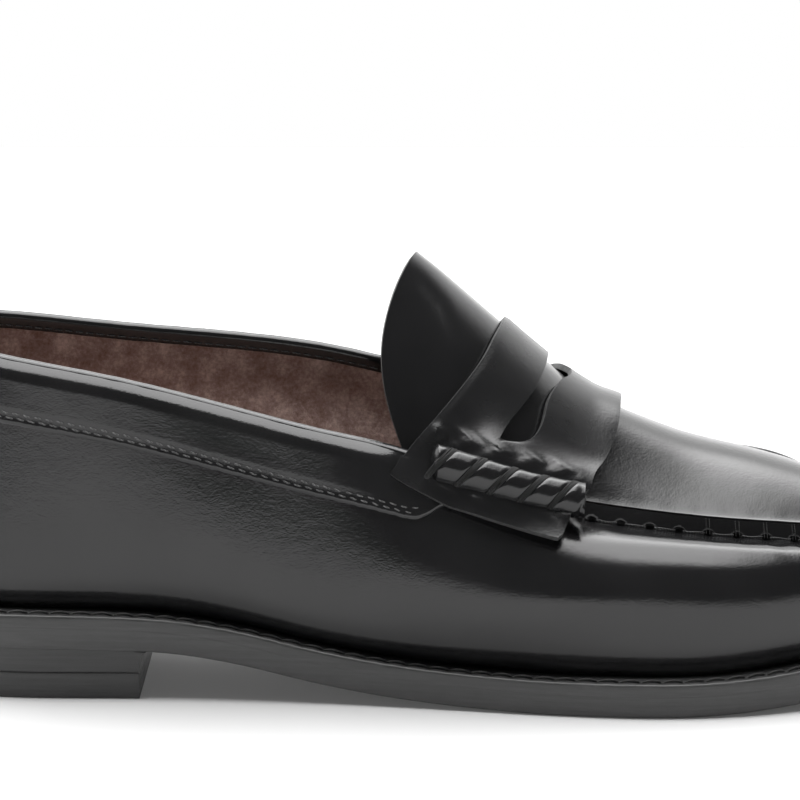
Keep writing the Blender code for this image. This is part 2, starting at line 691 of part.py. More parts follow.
def beefroll(looks, medial):
    """Rolled end of the strap at the seam, lashed with thick thread that winds over it."""
    side = "medial" if medial else "lateral"
    x = np.linspace(149, 189, 17)
    u = u_at_top_x(x, medial)
    seam = ROUND(u)[:, 2:5]
    out = unit(ROUND(u)[:, :2] - outline(u, 1.0))
    away = unit(np.column_stack([out * 0.9, np.full(len(u), 0.55)]))
    centre = seam + away * (1.3 + STRAP + GAP + ROLL_RADIUS + 0.6)
    bulge = ROLL_RADIUS * (0.8 + 0.2 * np.abs(np.sin((x - 149) / 8 * math.pi)))
    along = unit(np.gradient(centre, axis=0))
    side_way = unit(np.cross(along, away))
    turn = np.arange(10) * 2 * math.pi / 10
    sections = (
        centre[:, None]
        + away[:, None] * (bulge[:, None] * np.cos(turn)[None, :])[..., None]
        + side_way[:, None] * (bulge[:, None] * np.sin(turn)[None, :])[..., None]
    )
    ring(f"beefroll_{side}", sections, looks["leather"], closed=False)
    step = np.linspace(0, 1, 51)
    place = 1 + step * (len(x) - 3)
    index = np.arange(len(x))
    swing = 1.25 * np.sin(step * 5 * 2 * math.pi)
    middle = np.column_stack([np.interp(place, index, centre[:, k]) for k in range(3)])
    outwards = np.column_stack([np.interp(place, index, away[:, k]) for k in range(3)])
    sideways = np.column_stack([np.interp(place, index, side_way[:, k]) for k in range(3)])
    reach = ROLL_RADIUS + GAP + THREAD_RADIUS
    path = middle + reach * (np.cos(swing)[:, None] * outwards + np.sin(swing)[:, None] * sideways)
    tube(f"lashing_{side}", path, THREAD_RADIUS, looks["thread"], sides=4)


def seam_threads(looks):
    plan = outline(U_RINGS, 3.3)
    path = np.column_stack([plan, sole_bottom(plan[:, 0]) + OUTSOLE + WELT + 2 * GAP + 0.5])
    tube("welt_thread", path, 0.45, looks["thread"], sides=4, closed=True)
    fore = span(196, by_toe=True)
    grid = wall(fore[:, None], t_below_top(fore, 4.0)[:, None] + np.array([-0.02, 0, 0.02]))
    tube("plug_thread", offset(grid, GAP + 0.45)[:, 1], 0.45, looks["thread"])


def build():
    looks = {
        "leather": material("black_leather", (0.012, 0.012, 0.013), 0.18),
        "sole": material("sole_edge", (0.03, 0.03, 0.032), 0.5),
        "heel": material("heel_stack", (0.03, 0.03, 0.032), 0.5),
        "lift": material("top_lift_rubber", (0.035, 0.035, 0.037), 0.7),
        "board": material("fibre_board", (0.45, 0.33, 0.2), 0.8),
        "sock": material("sock_leather", (0.2, 0.11, 0.07), 0.6),
        "cork": material("cork", (0.5, 0.32, 0.17), 0.9),
        "canvas": material("lining_canvas", (0.5, 0.45, 0.36), 0.9),
        "suede": material("brown_suede", (0.09, 0.045, 0.03), 0.95),
        "thread": material("black_thread", (0.03, 0.03, 0.03), 0.6),
        "steel": material("steel", (0.5, 0.5, 0.5), 0.35, 1.0),
    }
    outsole, insole, seat = soling(looks)
    shank(looks)
    heel(looks, outsole, insole, seat)
    vamp(looks)
    linings(looks)
    collar(looks)
    binding(looks)
    backstay(looks)
    apron_pieces(looks)
    tongue(looks)
    penny_strap(looks)
    for medial in (False, True):
        beefroll(looks, medial)
    seam_threads(looks)


for old in list(bpy.data.objects):
    bpy.data.objects.remove(old)
shoe = bpy.data.objects.new("shoe", None)
bpy.context.scene.collection.objects.link(shoe)
build()
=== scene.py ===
"""Looks of the penny loafer: polished leather, suede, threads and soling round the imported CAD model.

Shapes are worked out in millimetres in the shoe's own plan: x from the back of the heel to the toe, y
negative on the outer side, z up. to_row() turns them into the row frame's metres.
"""
import math

import bmesh
import bpy
import numpy as np
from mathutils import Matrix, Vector


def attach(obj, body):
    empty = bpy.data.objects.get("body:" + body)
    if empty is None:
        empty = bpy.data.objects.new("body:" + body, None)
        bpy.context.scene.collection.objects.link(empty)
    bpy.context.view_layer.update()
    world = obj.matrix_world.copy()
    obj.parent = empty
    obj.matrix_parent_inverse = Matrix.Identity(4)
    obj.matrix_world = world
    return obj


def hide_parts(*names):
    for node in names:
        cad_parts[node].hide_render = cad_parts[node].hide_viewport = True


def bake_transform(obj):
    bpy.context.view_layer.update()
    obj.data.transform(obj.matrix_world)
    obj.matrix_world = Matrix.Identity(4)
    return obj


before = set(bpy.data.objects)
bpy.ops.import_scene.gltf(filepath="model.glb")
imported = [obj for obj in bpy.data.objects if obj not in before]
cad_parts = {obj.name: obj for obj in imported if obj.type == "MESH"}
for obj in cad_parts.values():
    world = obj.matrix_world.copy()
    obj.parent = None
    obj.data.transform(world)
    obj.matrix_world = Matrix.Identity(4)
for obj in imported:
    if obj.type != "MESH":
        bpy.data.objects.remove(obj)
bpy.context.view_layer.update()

# ---------------------------------------------------------------- driving dimensions, as in the CAD model
MIDDLE = np.array([151.5, -1.5, 0.0])
MM = 0.001
GAP = 0.3
OUTSOLE = 5.9
WELT = 3.1
WELT_LEDGE = 5.5
WELT_WIDTH = 14.0
WALL = 2.0
FLANGE = 9.0
HEEL_FRONT = 74.0
TOP_LIFT = 7.3
COLLAR_DEPTH = 15.2
COLLAR = 1.0
STRAP = 1.7
INSOLE = 2.5
SOCK_RISE = 1.4  # of the sock above the insole
STRAP_SEAM = (143.2, 190.6)  # rear and front edge where the strap crosses the seam
STRAP_TAB = (140.2, 186.2)  # the same edges at the bottom of the tab
SLOT_END = 0.868  # of the way from crown to seam
SEAM_PITCH = 7.8  # stitches of the apron seam
WELT_PITCH = 5.6
COLLAR_PITCH = 3.0
WRAP_PITCH = 8.0
LIP = 4.2  # height of the seam's standing edge
FAR_LIP = 2.0  # how much further it stands on the medial side
FAR_LIP_SPAN = (210, 252)  # x over which it rises to that

STATIONS = np.array([
    (3, 1, 10, 0, 95.6, 4, 26, 6, 6),
    (9, -19, 15, -15, 93.1, 3, 26, 5, 6),
    (30, -32, 36, -25.5, 89.1, 2, 28, 3.5, 6.5),
    (62, -35, 65, -30, 84.2, 2, 32, 3, 6.5),
    (95, -36.5, 94, -32, 77.4, 2.4, 22.5, 8.2, 5.6),
    (125, -39.5, 122, -33.5, 70.3, 3.4, 30, 6.6, 2.8),
    (155, -44.5, 150, -33.5, 63.9, 10.5, 20, 9, 11),
    (182, -50, 178, -31, 55.5, 19, 18, 6, 22),
    (207, -53, 204, -27.5, 50.2, 26, 11, 1.9, 23),
    (232, -50.5, 227, -25.5, 47.2, 25, 6.6, 1.7, 19.5),
    (257, -41.5, 248, -22, 45, 21, 5, 2, 16.5),
    (279, -29.5, 266, -15.5, 42.3, 16.5, 4, 2.6, 16.8),
    (294, -13, 275, -5.5, 40.4, 15, 2, 3.4, 17),
    (300, 4, 278, 4, 40, 14, 1.5, 3.7, 18.5),
    (295.5, 20, 275, 13, 41.2, 15, 2, 3.2, 18.5),
    (281, 31.5, 264, 20.5, 45.5, 16, 4, 2.5, 17.6),
    (259, 41, 248, 24, 53, 18, 8, 2.3, 18.5),
    (235, 47, 228, 25.5, 57.5, 21, 11, 2, 19.5),
    (209, 50, 204, 28, 62, 19, 14, 2.4, 18),
    (182, 45, 178, 30.5, 68, 9, 16, 4.5, 11),
    (155, 37, 150, 32, 76, 2.5, 19, 6.3, 6),
    (125, 31, 122, 31.5, 83.4, 1, 20, 6, 6),
    (95, 31, 94, 30.5, 87.2, 1, 22, 6, 6),
    (62, 33, 65, 29, 90, 1.5, 28, 4, 6.5),
    (30, 32, 36, 25, 93.5, 2, 28, 3.5, 6.5),
    (9, 19, 15, 15, 95.6, 3, 26, 5, 6),
], float)
TONGUE_REAR = [
    (-1, 143.3), (-0.92, 140.1), (-0.8, 137.8), (-0.62, 139.3), (-0.36, 143.7),
    (0, 147.2), (0.35, 146.0), (0.7, 141.8), (0.85, 141.2), (1, 144.0),
]
STRAP_REAR = [
    (-1, 143.2), (-0.915, 149.0), (-0.815, 154.5), (-0.7, 159.2), (-0.535, 163.8), (-0.385, 166.2),
    (-0.15, 168.6), (0.1, 169.4), (0.3, 169.0), (0.6, 165.5), (0.8, 158.5), (1, 143.2),
]
STRAP_FRONT = [
    (-1, 190.6), (-0.88, 192.6), (-0.81, 194.8), (-0.655, 198.0), (-0.54, 199.2), (-0.255, 200.5),
    (0, 201.2), (0.3, 201.2), (0.6, 199.6), (0.8, 196.0), (1, 190.6),
]
SLOT_REAR = [
    (-1, 163.5), (-0.86, 167.5), (-0.7, 172.8), (-0.53, 177.0), (-0.405, 178.8), (-0.1, 180.8),
    (0.2, 181.0), (0.5, 179.0), (0.7, 174.8), (0.86, 169.5), (1, 165.0),
]
SLOT_WIDTH = [
    (0, 6.4), (0.2, 5.9), (0.3, 4.6), (0.385, 4.1), (0.55, 4.1), (0.65, 5.5), (0.75, 7.0), (0.86, 7.4),
    (1, 7.4),
]
COLLAR_END = [(120, 1.0), (143, 1.0), (147, 0.97), (150, 0.84), (154, 0.63), (160, 0.45)]
SOLE_LINE = np.array([
    (0, 14.0, -0.01),
    (64, 13.6, -0.03),
    (87, 12.1, -0.13),
    (101, 9.8, -0.2),
    (121, 5.4, -0.19),
    (142, 2.2, -0.11),
    (165, 0.5, -0.04),
    (182, 0, 0),
    (212, 0, 0),
    (250, 2.0, 0.09),
    (301, 9.5, 0.2),
], float)
CROWN = np.array([
    (136, 124), (147, 114.7), (158, 105), (170, 94.3), (182, 84), (192, 76.8), (202, 71.5),
    (211, 67.6), (221, 63.9), (236, 60.2), (250, 56.4), (262, 52), (271, 47), (279, 42),
], float)
UP = np.array([0.0, 0.0, 1.0])


# ---------------------------------------------------------------- curves and surfaces

def spline_bends(knots, rows, closed):
    """Second derivatives of a natural or closed cubic spline at its knots."""
    count = len(knots)
    matrix = np.eye(count)
    right = np.zeros_like(rows)
    for i in range(count):
        if not closed and i in (0, count - 1):
            continue
        before, after = (i - 1) % count, (i + 1) % count
        left = (knots[i] - knots[before]) % (1.0 if closed else 1e9)
        ahead = (knots[after] - knots[i]) % (1.0 if closed else 1e9)
        matrix[i, i] = 2 * (left + ahead)
        matrix[i, before] = left
        matrix[i, after] = ahead
        right[i] = 6 * ((rows[after] - rows[i]) / ahead - (rows[i] - rows[before]) / left)
    return np.linalg.solve(matrix, right)


def travelled(points):
    """Distance covered along a line of points, in millimetres."""
    return np.concatenate([[0], np.cumsum(np.linalg.norm(np.diff(points, axis=0), axis=1))])


def along_line(where, run, line):
    """Points of a line at the distances where, given the distance run at each of its own points."""
    return np.column_stack([np.interp(where, run, line[:, k]) for k in range(3)])


class Spline:
    """A smooth curve through rows of numbers."""

    def __init__(self, knots, rows, closed=False):
        self.closed = closed
        self.knots = np.asarray(knots, float)
        self.rows = np.asarray(rows, float).reshape(len(self.knots), -1)
        self.bends = spline_bends(self.knots, self.rows, closed)
        if closed:
            self.knots = np.append(self.knots, self.knots[0] + 1)
            self.rows = np.vstack([self.rows, self.rows[:1]])
            self.bends = np.vstack([self.bends, self.bends[:1]])

    def __call__(self, where):
        where = np.asarray(where, float)
        if self.closed:
            where = where % 1.0
        i = np.clip(np.searchsorted(self.knots, where, side="right") - 1, 0, len(self.knots) - 2)
        width = (self.knots[i + 1] - self.knots[i])[..., None]
        b = (where - self.knots[i])[..., None] / width
        a = 1 - b
        curve = ((a**3 - a) * self.bends[i] + (b**3 - b) * self.bends[i + 1]) * width**2 / 6
        return a * self.rows[i] + b * self.rows[i + 1] + curve


def chord_knots(points):
    steps = np.linalg.norm(np.roll(points, -1, axis=0) - points, axis=1)
    return np.concatenate([[0], np.cumsum(steps)[:-1]]) / steps.sum()


ROUND = Spline(chord_knots(STATIONS[:, :2]), STATIONS, closed=True)
CROWN_LINE = Spline(CROWN[:, 0], CROWN[:, 1])


def line_through(pairs):
    table = np.array(pairs, float)
    return Spline(table[:, 0], table[:, 1])


FINE = np.linspace(0, 1, 2881)
FINE_ROUND = ROUND(FINE)


def sole_bottom(x):
    """Height of the outsole's underside above the ground."""
    knots, heights, slopes = SOLE_LINE.T
    x = np.clip(x, knots[0], knots[-1])
    i = np.clip(np.searchsorted(knots, x, side="right") - 1, 0, len(knots) - 2)
    width = knots[i + 1] - knots[i]
    s = (x - knots[i]) / width
    start = (1 + 2 * s) * (1 - s) ** 2 * heights[i] + s * (1 - s) ** 2 * width * slopes[i]
    end = s**2 * (3 - 2 * s) * heights[i + 1] - s**2 * (1 - s) * width * slopes[i + 1]
    return start + end


def unit(v):
    return v / np.maximum(np.linalg.norm(v, axis=-1, keepdims=True), 1e-9)


def smooth(low, high, value):
    s = np.clip((np.asarray(value, float) - low) / (high - low), 0, 1)
    return s * s * (3 - 2 * s)


def hump(value, centre, width):
    return np.exp(-(((np.asarray(value, float) - centre) / width) ** 2))


def outline(u, inset=0.0):
    """Plan of the sole's edge moved inwards by inset."""
    step = 1e-3
    along = unit(ROUND(u + step)[..., :2] - ROUND(u - step)[..., :2])
    inward = np.stack([-along[..., 1], along[..., 0]], axis=-1)
    return ROUND(u)[..., :2] + inward * inset


def outward(u):
    """Horizontal unit vector out of the shoe at u."""
    plan = unit(ROUND(u)[..., :2] - outline(u, 1.0))
    return np.concatenate([plan, np.zeros(plan.shape[:-1] + (1,))], axis=-1)


def u_at_top_x(x, medial=False):
    """Where round the shoe the top edge passes x, on the chosen side."""
    side = (FINE >= 0.5) if medial else (FINE <= 0.5)
    order = np.argsort(FINE_ROUND[side, 2])
    return np.interp(x, FINE_ROUND[side, 2][order], FINE[side][order])


def wall(u, t):
    """The upper's outer surface: u round the shoe, t from the welt (0) to the top edge (1)."""
    u, t = np.broadcast_arrays(np.asarray(u, float), np.asarray(t, float))
    row = ROUND(u)
    out = outward(u)
    foot = np.empty(u.shape + (3,))
    foot[..., :2] = outline(u, WELT_LEDGE)
    foot[..., 2] = sole_bottom(foot[..., 0]) + OUTSOLE + WELT + 2 * GAP
    lower = foot + out * row[..., 7:8] + UP * row[..., 8:9]
    top = row[..., 2:5]
    upper = top + out * row[..., 5:6] - UP * row[..., 6:7]
    s = t[..., None]
    return (1 - s) ** 3 * foot + 3 * (1 - s) ** 2 * s * lower + 3 * (1 - s) * s**2 * upper + s**3 * top


def wall_scale(u):
    """The wall from its top edge down, as t, points, and distance down the leather."""
    t = np.linspace(1, 0, 161)
    fine = wall(u[:, None], t[None, :])
    drops = np.linalg.norm(np.diff(fine, axis=1), axis=2)
    return t, fine, np.concatenate([np.zeros((len(u), 1)), np.cumsum(drops, axis=1)], axis=1)


def wall_by_depth(u, depth):
    """Wall points at distances down the leather from its top edge; depth has one row for each u."""
    t, _, run = wall_scale(u)
    depth = np.broadcast_to(depth, (len(u), np.shape(depth)[-1]))
    found = np.stack([np.interp(d, r, t) for d, r in zip(depth, run)])
    return trimmed(u, wall(u[:, None], found), depth)


TOPLINE_TURN = 2.6  # how far the topline's edge rolls in
TOPLINE_REACH = 3.2  # how far down the leather that roll begins
ROLL_FADE = (132, 147)  # x over which it dies out towards the strap
FOOT_TUCK = 2.6  # how far the wall's foot is drawn in over the welt
TUCK_REACH = 8.5  # and how high above the welt that begins


def trimmed(u, points, depth):
    """The wall's points with the topline rolled in and the foot drawn in."""
    share = 1 - smooth(*ROLL_FADE, ROUND(u)[:, 2])[:, None]
    roll = TOPLINE_TURN * share * np.clip(1 - depth / TOPLINE_REACH, 0, 1) ** 2
    foot = wall(u, 0.0)[:, None, 2]
    tuck = FOOT_TUCK * np.clip(1 - (points[..., 2] - foot) / TUCK_REACH, 0, 1) ** 2
    return points - outward(u)[:, None] * (roll + tuck)[..., None]


def wall_length(u):
    """Length of the leather from its top edge to the welt."""
    fine = wall(u[:, None], np.linspace(0, 1, 81)[None, :])
    return np.linalg.norm(np.diff(fine, axis=1), axis=2).sum(axis=1)


def depth_at_drop(u, drop):
    """Distance down the leather at which the wall lies this far below its top edge in height."""
    _, fine, run = wall_scale(u)
    fall = fine[:, :1, 2] - fine[..., 2]
    return np.stack([np.interp(d, f, r) for d, f, r in zip(np.broadcast_to(drop, len(u)), fall, run)])


def apron(x, q):
    """Surface of apron and tongue under the crown: q from the lateral seam (-1) to the medial one (1)."""
    x, q = np.broadcast_arrays(np.asarray(x, float), np.asarray(q, float))
    low = ROUND(u_at_top_x(x))[..., 2:5]
    high = ROUND(u_at_top_x(x, medial=True))[..., 2:5]
    crown = np.maximum(CROWN_LINE(x)[..., 0], high[..., 2] + 0.8)
    ratio = np.sqrt((crown - low[..., 2]) / (crown - high[..., 2]))
    middle = low[..., 1] + (high[..., 1] - low[..., 1]) * ratio / (1 + ratio)
    y = np.where(q < 0, middle + (low[..., 1] - middle) * -q, middle + (high[..., 1] - middle) * q)
    z = crown - (crown - low[..., 2]) * ((y - middle) / (low[..., 1] - middle)) ** 2
    return np.stack([x, y, z], axis=-1)


def normals(grid, closed=False):
    along = np.roll(grid, -1, axis=0) - np.roll(grid, 1, axis=0) if closed else np.gradient(grid, axis=0)
    return unit(np.cross(along, np.gradient(grid, axis=1)))


def skin_way(u, grid, closed=False):
    """Unit vectors out of the leather for a grid of wall points whose rows belong to u."""
    way = normals(grid, closed)
    return way * np.sign((way * outward(u)[:, None]).sum(axis=-1, keepdims=True).mean())


def wavy(points, size, seed):
    """A smooth random field from -1 to 1 with features of the given size in millimetres."""
    local = np.random.default_rng(seed)
    total = np.zeros(points.shape[:-1])
    for _ in range(9):
        direction = unit(local.normal(size=3)) * 2 * math.pi / (size * local.uniform(0.7, 1.5))
        total += np.sin(points @ direction + local.uniform(0, 6.3))
    return total / 4.5


# ---------------------------------------------------------------- meshes

def to_row(points):
    return (np.asarray(points, float) - MIDDLE) * MM


def make_mesh(name, points, faces, looks, slots=None, sharp=50.0):
    """A mesh object from millimetre points; faces is a list of index lists or an array of quads."""
    mesh = bpy.data.meshes.new(name)
    mesh.from_pydata(to_row(points).tolist(), [], faces.tolist() if isinstance(faces, np.ndarray) else faces)
    for look in looks:
        mesh.materials.append(look)
    if slots is not None:
        mesh.polygons.foreach_set("material_index", np.asarray(slots, np.int32))
    work = bmesh.new()
    work.from_mesh(mesh)
    bmesh.ops.recalc_face_normals(work, faces=work.faces)
    work.to_mesh(mesh)
    work.free()
    mesh.shade_smooth()
    mesh.set_sharp_from_angle(angle=math.radians(sharp))
    made = bpy.data.objects.new(name, mesh)
    bpy.context.scene.collection.objects.link(made)
    return made


def sheet_mesh(name, outer, inner, looks, closed=False, hole=None, sharp=50.0):
    """A closed sheet between two grids; hole marks cells left open. Its cut edges take the last look."""
    rows, columns = outer.shape[:2]
    far = rows * columns
    last = rows if closed else rows - 1
    i, j = np.meshgrid(np.arange(last), np.arange(columns - 1), indexing="ij")
    keep = np.ones(i.shape, bool) if hole is None else ~hole[:last, : columns - 1]
    after = (i + 1) % rows
    quads = np.stack([i * columns + j, after * columns + j, after * columns + j + 1, i * columns + j + 1], -1)
    skin = quads[keep]
    rim = []
    padded = np.zeros((last + 2, columns + 1), bool)
    padded[1:-1, 1:-1] = keep
    if closed:
        padded[0], padded[-1] = padded[-2].copy(), padded[1].copy()
    for shift, a, b in (((1, 0), 0, 1), ((2, 1), 1, 2), ((1, 2), 2, 3), ((0, 1), 3, 0)):
        open_side = keep & ~padded[shift[0] : shift[0] + last, shift[1] : shift[1] + columns - 1]
        edge = quads[open_side]
        rim.append(np.stack([edge[:, b], edge[:, a], edge[:, a] + far, edge[:, b] + far], -1))
    rim = np.concatenate(rim)
    faces = np.concatenate([skin, skin[:, ::-1] + far, rim])
    slots = np.concatenate([np.zeros(2 * len(skin)), np.full(len(rim), len(looks) - 1)])
    points = np.concatenate([outer.reshape(-1, 3), inner.reshape(-1, 3)])
    used, where = np.unique(faces, return_inverse=True)
    return make_mesh(name, points[used], where.reshape(faces.shape), looks, slots, sharp)


def swept(name, sections, look, closed=True, sharp=60.0):
    """A solid swept through sections, an array (count, corners, 3)."""
    count, corners = sections.shape[:2]
    i, j = np.meshgrid(np.arange(count if closed else count - 1), np.arange(corners), indexing="ij")
    after, k = (i + 1) % count, (j + 1) % corners
    here, there = i * corners, after * corners
    faces = np.stack([here + j, here + k, there + k, there + j], -1).reshape(-1, 4).tolist()
    if not closed:
        faces += [list(range(corners)), list(range((count - 1) * corners, count * corners))]
    return make_mesh(name, sections.reshape(-1, 3), faces, [look], sharp=sharp)


def tube_sections(path, radius, sides):
    along = unit(np.gradient(path, axis=0))
    across = unit(np.cross(along, (0.03, 0.1, 1.0)))
    up = np.cross(across, along)
    turn = np.arange(sides) * 2 * math.pi / sides
    radius = np.broadcast_to(radius, len(path))[:, None, None]
    circle = across[:, None] * np.cos(turn)[:, None] + up[:, None] * np.sin(turn)[:, None]
    return path[:, None] + radius * circle


def thread_mesh(name, paths, radius, look, sides=6):
    """Many short threads in one piece, each a tube that thins at its ends."""
    points, faces, start = [], [], 0
    for path in paths:
        count = len(path)
        taper = radius * (0.55 + 0.45 * np.sin(np.linspace(0.12, math.pi - 0.12, count)) ** 0.6)
        ring = tube_sections(path, taper, sides)
        points.append(ring.reshape(-1, 3))
        for i in range(count - 1):
            for j in range(sides):
                k = (j + 1) % sides
                a, b = start + i * sides, start + (i + 1) * sides
                faces.append([a + j, a + k, b + k, b + j])
        faces.append([start + j for j in range(sides)])
        faces.append([start + (count - 1) * sides + j for j in range(sides)])
        start += count * sides
    return make_mesh(name, np.concatenate(points), faces, [look], sharp=80)


def soften(made, width, segments=2):
    bevel = made.modifiers.new("edges", "BEVEL")
    bevel.width = width * MM
    bevel.segments = segments
    bevel.limit_method = "ANGLE"
    bevel.angle_limit = math.radians(50.0)
    bevel.harden_normals = False
    return made


def place(made, slot, *nodes, body="shoe"):
    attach(made, body)
    if nodes:
        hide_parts(*nodes)
    return made


# ---------------------------------------------------------------- materials

class Nodes:
    """A node tree with short ways to add nodes and join them."""

    def __init__(self, tree):
        self.tree = tree

    def node(self, kind, **settings):
        made = self.tree.nodes.new(kind)
        for key, value in settings.items():
            setattr(made, key, value)
        return made

    def link(self, a, b):
        self.tree.links.new(a, b)

    def range(self, value, low, high, out_low, out_high, **settings):
        made = self.node("ShaderNodeMapRange", **settings)
        limits = {"From Min": low, "From Max": high, "To Min": out_low, "To Max": out_high}
        for socket, number in limits.items():
            made.inputs[socket].default_value = number
        self.link(value, made.inputs["Value"])
        return made.outputs["Result"]

    def maths(self, operation, a, b):
        made = self.node("ShaderNodeMath", operation=operation)
        for socket, value in zip(made.inputs, (a, b)):
            if isinstance(value, (int, float)):
                socket.default_value = value
            else:
                self.link(value, socket)
        return made.outputs[0]


class Look(Nodes):
    """One Principled material; lengths are in metres, in object space."""

    def __init__(self, name, colour, roughness, **fixed):
        self.made = bpy.data.materials.new(name)
        self.made.use_nodes = True
        super().__init__(self.made.node_tree)
        self.shader = self.tree.nodes["Principled BSDF"]
        self.shader.inputs["Base Color"].default_value = (*colour, 1)
        self.shader.inputs["Roughness"].default_value = roughness
        for socket, value in fixed.items():
            self.shader.inputs[socket.replace("_", " ")].default_value = value
        self.place = self.node("ShaderNodeTexCoord").outputs["Object"]

    def scaled(self, scale):
        mapping = self.node("ShaderNodeMapping")
        mapping.inputs["Scale"].default_value = scale
        self.link(self.place, mapping.inputs["Vector"])
        return mapping.outputs["Vector"]

    def noise(self, scale, detail=3.0, rough=0.55, stretch=(1, 1, 1), distortion=0.0):
        made = self.node("ShaderNodeTexNoise")
        made.inputs["Scale"].default_value = scale
        made.inputs["Detail"].default_value = detail
        made.inputs["Roughness"].default_value = rough
        made.inputs["Distortion"].default_value = distortion
        self.link(self.scaled(stretch), made.inputs["Vector"])
        return made.outputs["Fac"]

    def cells(self, scale):
        made = self.node("ShaderNodeTexVoronoi", feature="F1")
        made.inputs["Scale"].default_value = scale
        self.link(self.place, made.inputs["Vector"])
        return made.outputs["Distance"]

    def colour(self, value, *stops):
        ramp = self.node("ShaderNodeValToRGB")
        ramp.color_ramp.elements[0].position = stops[0][0]
        ramp.color_ramp.elements[0].color = (*stops[0][1], 1)
        ramp.color_ramp.elements[1].position = stops[-1][0]
        ramp.color_ramp.elements[1].color = (*stops[-1][1], 1)
        for position, shade in stops[1:-1]:
            ramp.color_ramp.elements.new(position).color = (*shade, 1)
        self.link(value, ramp.inputs["Fac"])
        self.link(ramp.outputs["Color"], self.shader.inputs["Base Color"])
        return ramp.outputs["Color"]

    def roughness(self, value, low, high):
        self.link(self.range(value, 0.3, 0.7, low, high), self.shader.inputs["Roughness"])

    def bump(self, height, distance):
        made = self.node("ShaderNodeBump")
        made.inputs["Strength"].default_value = 1.0
        made.inputs["Distance"].default_value = distance
        previous = self.shader.inputs["Normal"]
        if previous.is_linked:
            self.link(previous.links[0].from_socket, made.inputs["Normal"])
        self.link(height, made.inputs["Height"])
        self.link(made.outputs["Normal"], previous)


def polished_leather(name, shine=0.13):
    look = Look(name, (0.010, 0.010, 0.0105), shine, Specular_IOR_Level=0.5, Coat_Weight=0.0)
    look.roughness(look.noise(60, 3), shine * 0.8, shine * 1.35)
    look.colour(look.noise(35, 2), (0.3, (0.008, 0.008, 0.0085)), (0.7, (0.013, 0.013, 0.0135)))
    look.bump(look.noise(160, 3, 0.5), 0.00006)
    look.bump(look.noise(700, 4, 0.65, distortion=0.6), 0.00003)
    look.bump(look.cells(1700), 0.000012)
    look.bump(look.noise(2600, 4, 0.6), 0.000022)
    return look.made


def cut_edge(name):
    look = Look(name, (0.03, 0.03, 0.03), 0.55)
    look.colour(look.noise(900, 4, 0.7), (0.3, (0.015, 0.015, 0.015)), (0.75, (0.07, 0.07, 0.07)))
    look.bump(look.noise(2200, 4), 0.00006)
    return look.made


def brown_suede(name):
    look = Look(name, (0.1, 0.05, 0.04), 0.95, Sheen_Weight=0.35, Sheen_Roughness=0.5,
                Specular_IOR_Level=0.15)
    mix = look.maths("ADD", look.maths("MULTIPLY", look.noise(140, 4, 0.65), 0.6),
                     look.maths("MULTIPLY", look.noise(1100, 4, 0.7), 0.4))
    look.colour(mix, (0.36, (0.25, 0.155, 0.13)), (0.5, (0.44, 0.315, 0.28)), (0.64, (0.74, 0.58, 0.53)))
    look.bump(look.noise(1500, 5, 0.7), 0.0003)
    look.bump(look.noise(620, 3, 0.6), 0.0004)
    return look.made


def waxed_thread(name, colour=(0.022, 0.022, 0.022), roughness=0.45, gloss=0.5):
    look = Look(name, colour, roughness, Sheen_Weight=0.1, Specular_IOR_Level=gloss)
    wave = look.node("ShaderNodeTexWave", bands_direction="DIAGONAL")
    wave.inputs["Scale"].default_value = 900
    wave.inputs["Distortion"].default_value = 1.5
    look.link(look.place, wave.inputs["Vector"])
    light = tuple(min(1, 3.0 * c) for c in colour)
    look.colour(wave.outputs["Fac"], (0.2, colour), (0.9, light))
    look.bump(wave.outputs["Fac"], 0.00008)
    return look.made


def sole_edge(name, base=0.055, shine=0.42):
    look = Look(name, (base, base, base * 1.03), shine)
    layers = look.noise(120, 4, 0.6, stretch=(0.25, 0.25, 9))
    spots = look.noise(420, 3, 0.6, stretch=(0.4, 0.4, 2))
    mix = look.maths("ADD", look.maths("MULTIPLY", layers, 0.6), look.maths("MULTIPLY", spots, 0.4))
    look.colour(mix, (0.3, (base * 0.72,) * 3), (0.5, (base,) * 3), (0.72, (base * 1.3,) * 3))
    look.roughness(spots, shine * 0.85, shine * 1.25)
    look.bump(layers, 0.00007)
    look.bump(look.noise(1800, 3), 0.00002)
    return look.made


def sole_leather(name):
    look = Look(name, (0.05, 0.045, 0.04), 0.5)
    look.colour(look.noise(90, 5, 0.65), (0.3, (0.035, 0.033, 0.032)), (0.7, (0.075, 0.07, 0.066)))
    look.roughness(look.noise(60, 3), 0.4, 0.7)
    look.bump(look.noise(900, 5, 0.7), 0.00008)
    return look.made


def rubber(name):
    look = Look(name, (0.05, 0.05, 0.052), 0.62)
    look.colour(look.noise(300, 4), (0.3, (0.042, 0.042, 0.044)), (0.7, (0.062, 0.062, 0.064)))
    look.bump(look.noise(2400, 3), 0.00005)
    return look.made


def sock_leather(name):
    look = Look(name, (0.1, 0.055, 0.04), 0.55)
    look.colour(look.noise(110, 4), (0.3, (0.075, 0.04, 0.03)), (0.7, (0.13, 0.075, 0.055)))
    look.bump(look.cells(1300), 0.00006)
    look.bump(look.noise(120, 3), 0.0001)
    return look.made


def fibre(name, colour):
    look = Look(name, colour, 0.85)
    dark = tuple(0.7 * c for c in colour)
    light = tuple(min(1, 1.3 * c) for c in colour)
    look.colour(look.noise(700, 5, 0.7, stretch=(1, 0.3, 1)), (0.3, dark), (0.7, light))
    look.bump(look.noise(900, 4), 0.0001)
    return look.made


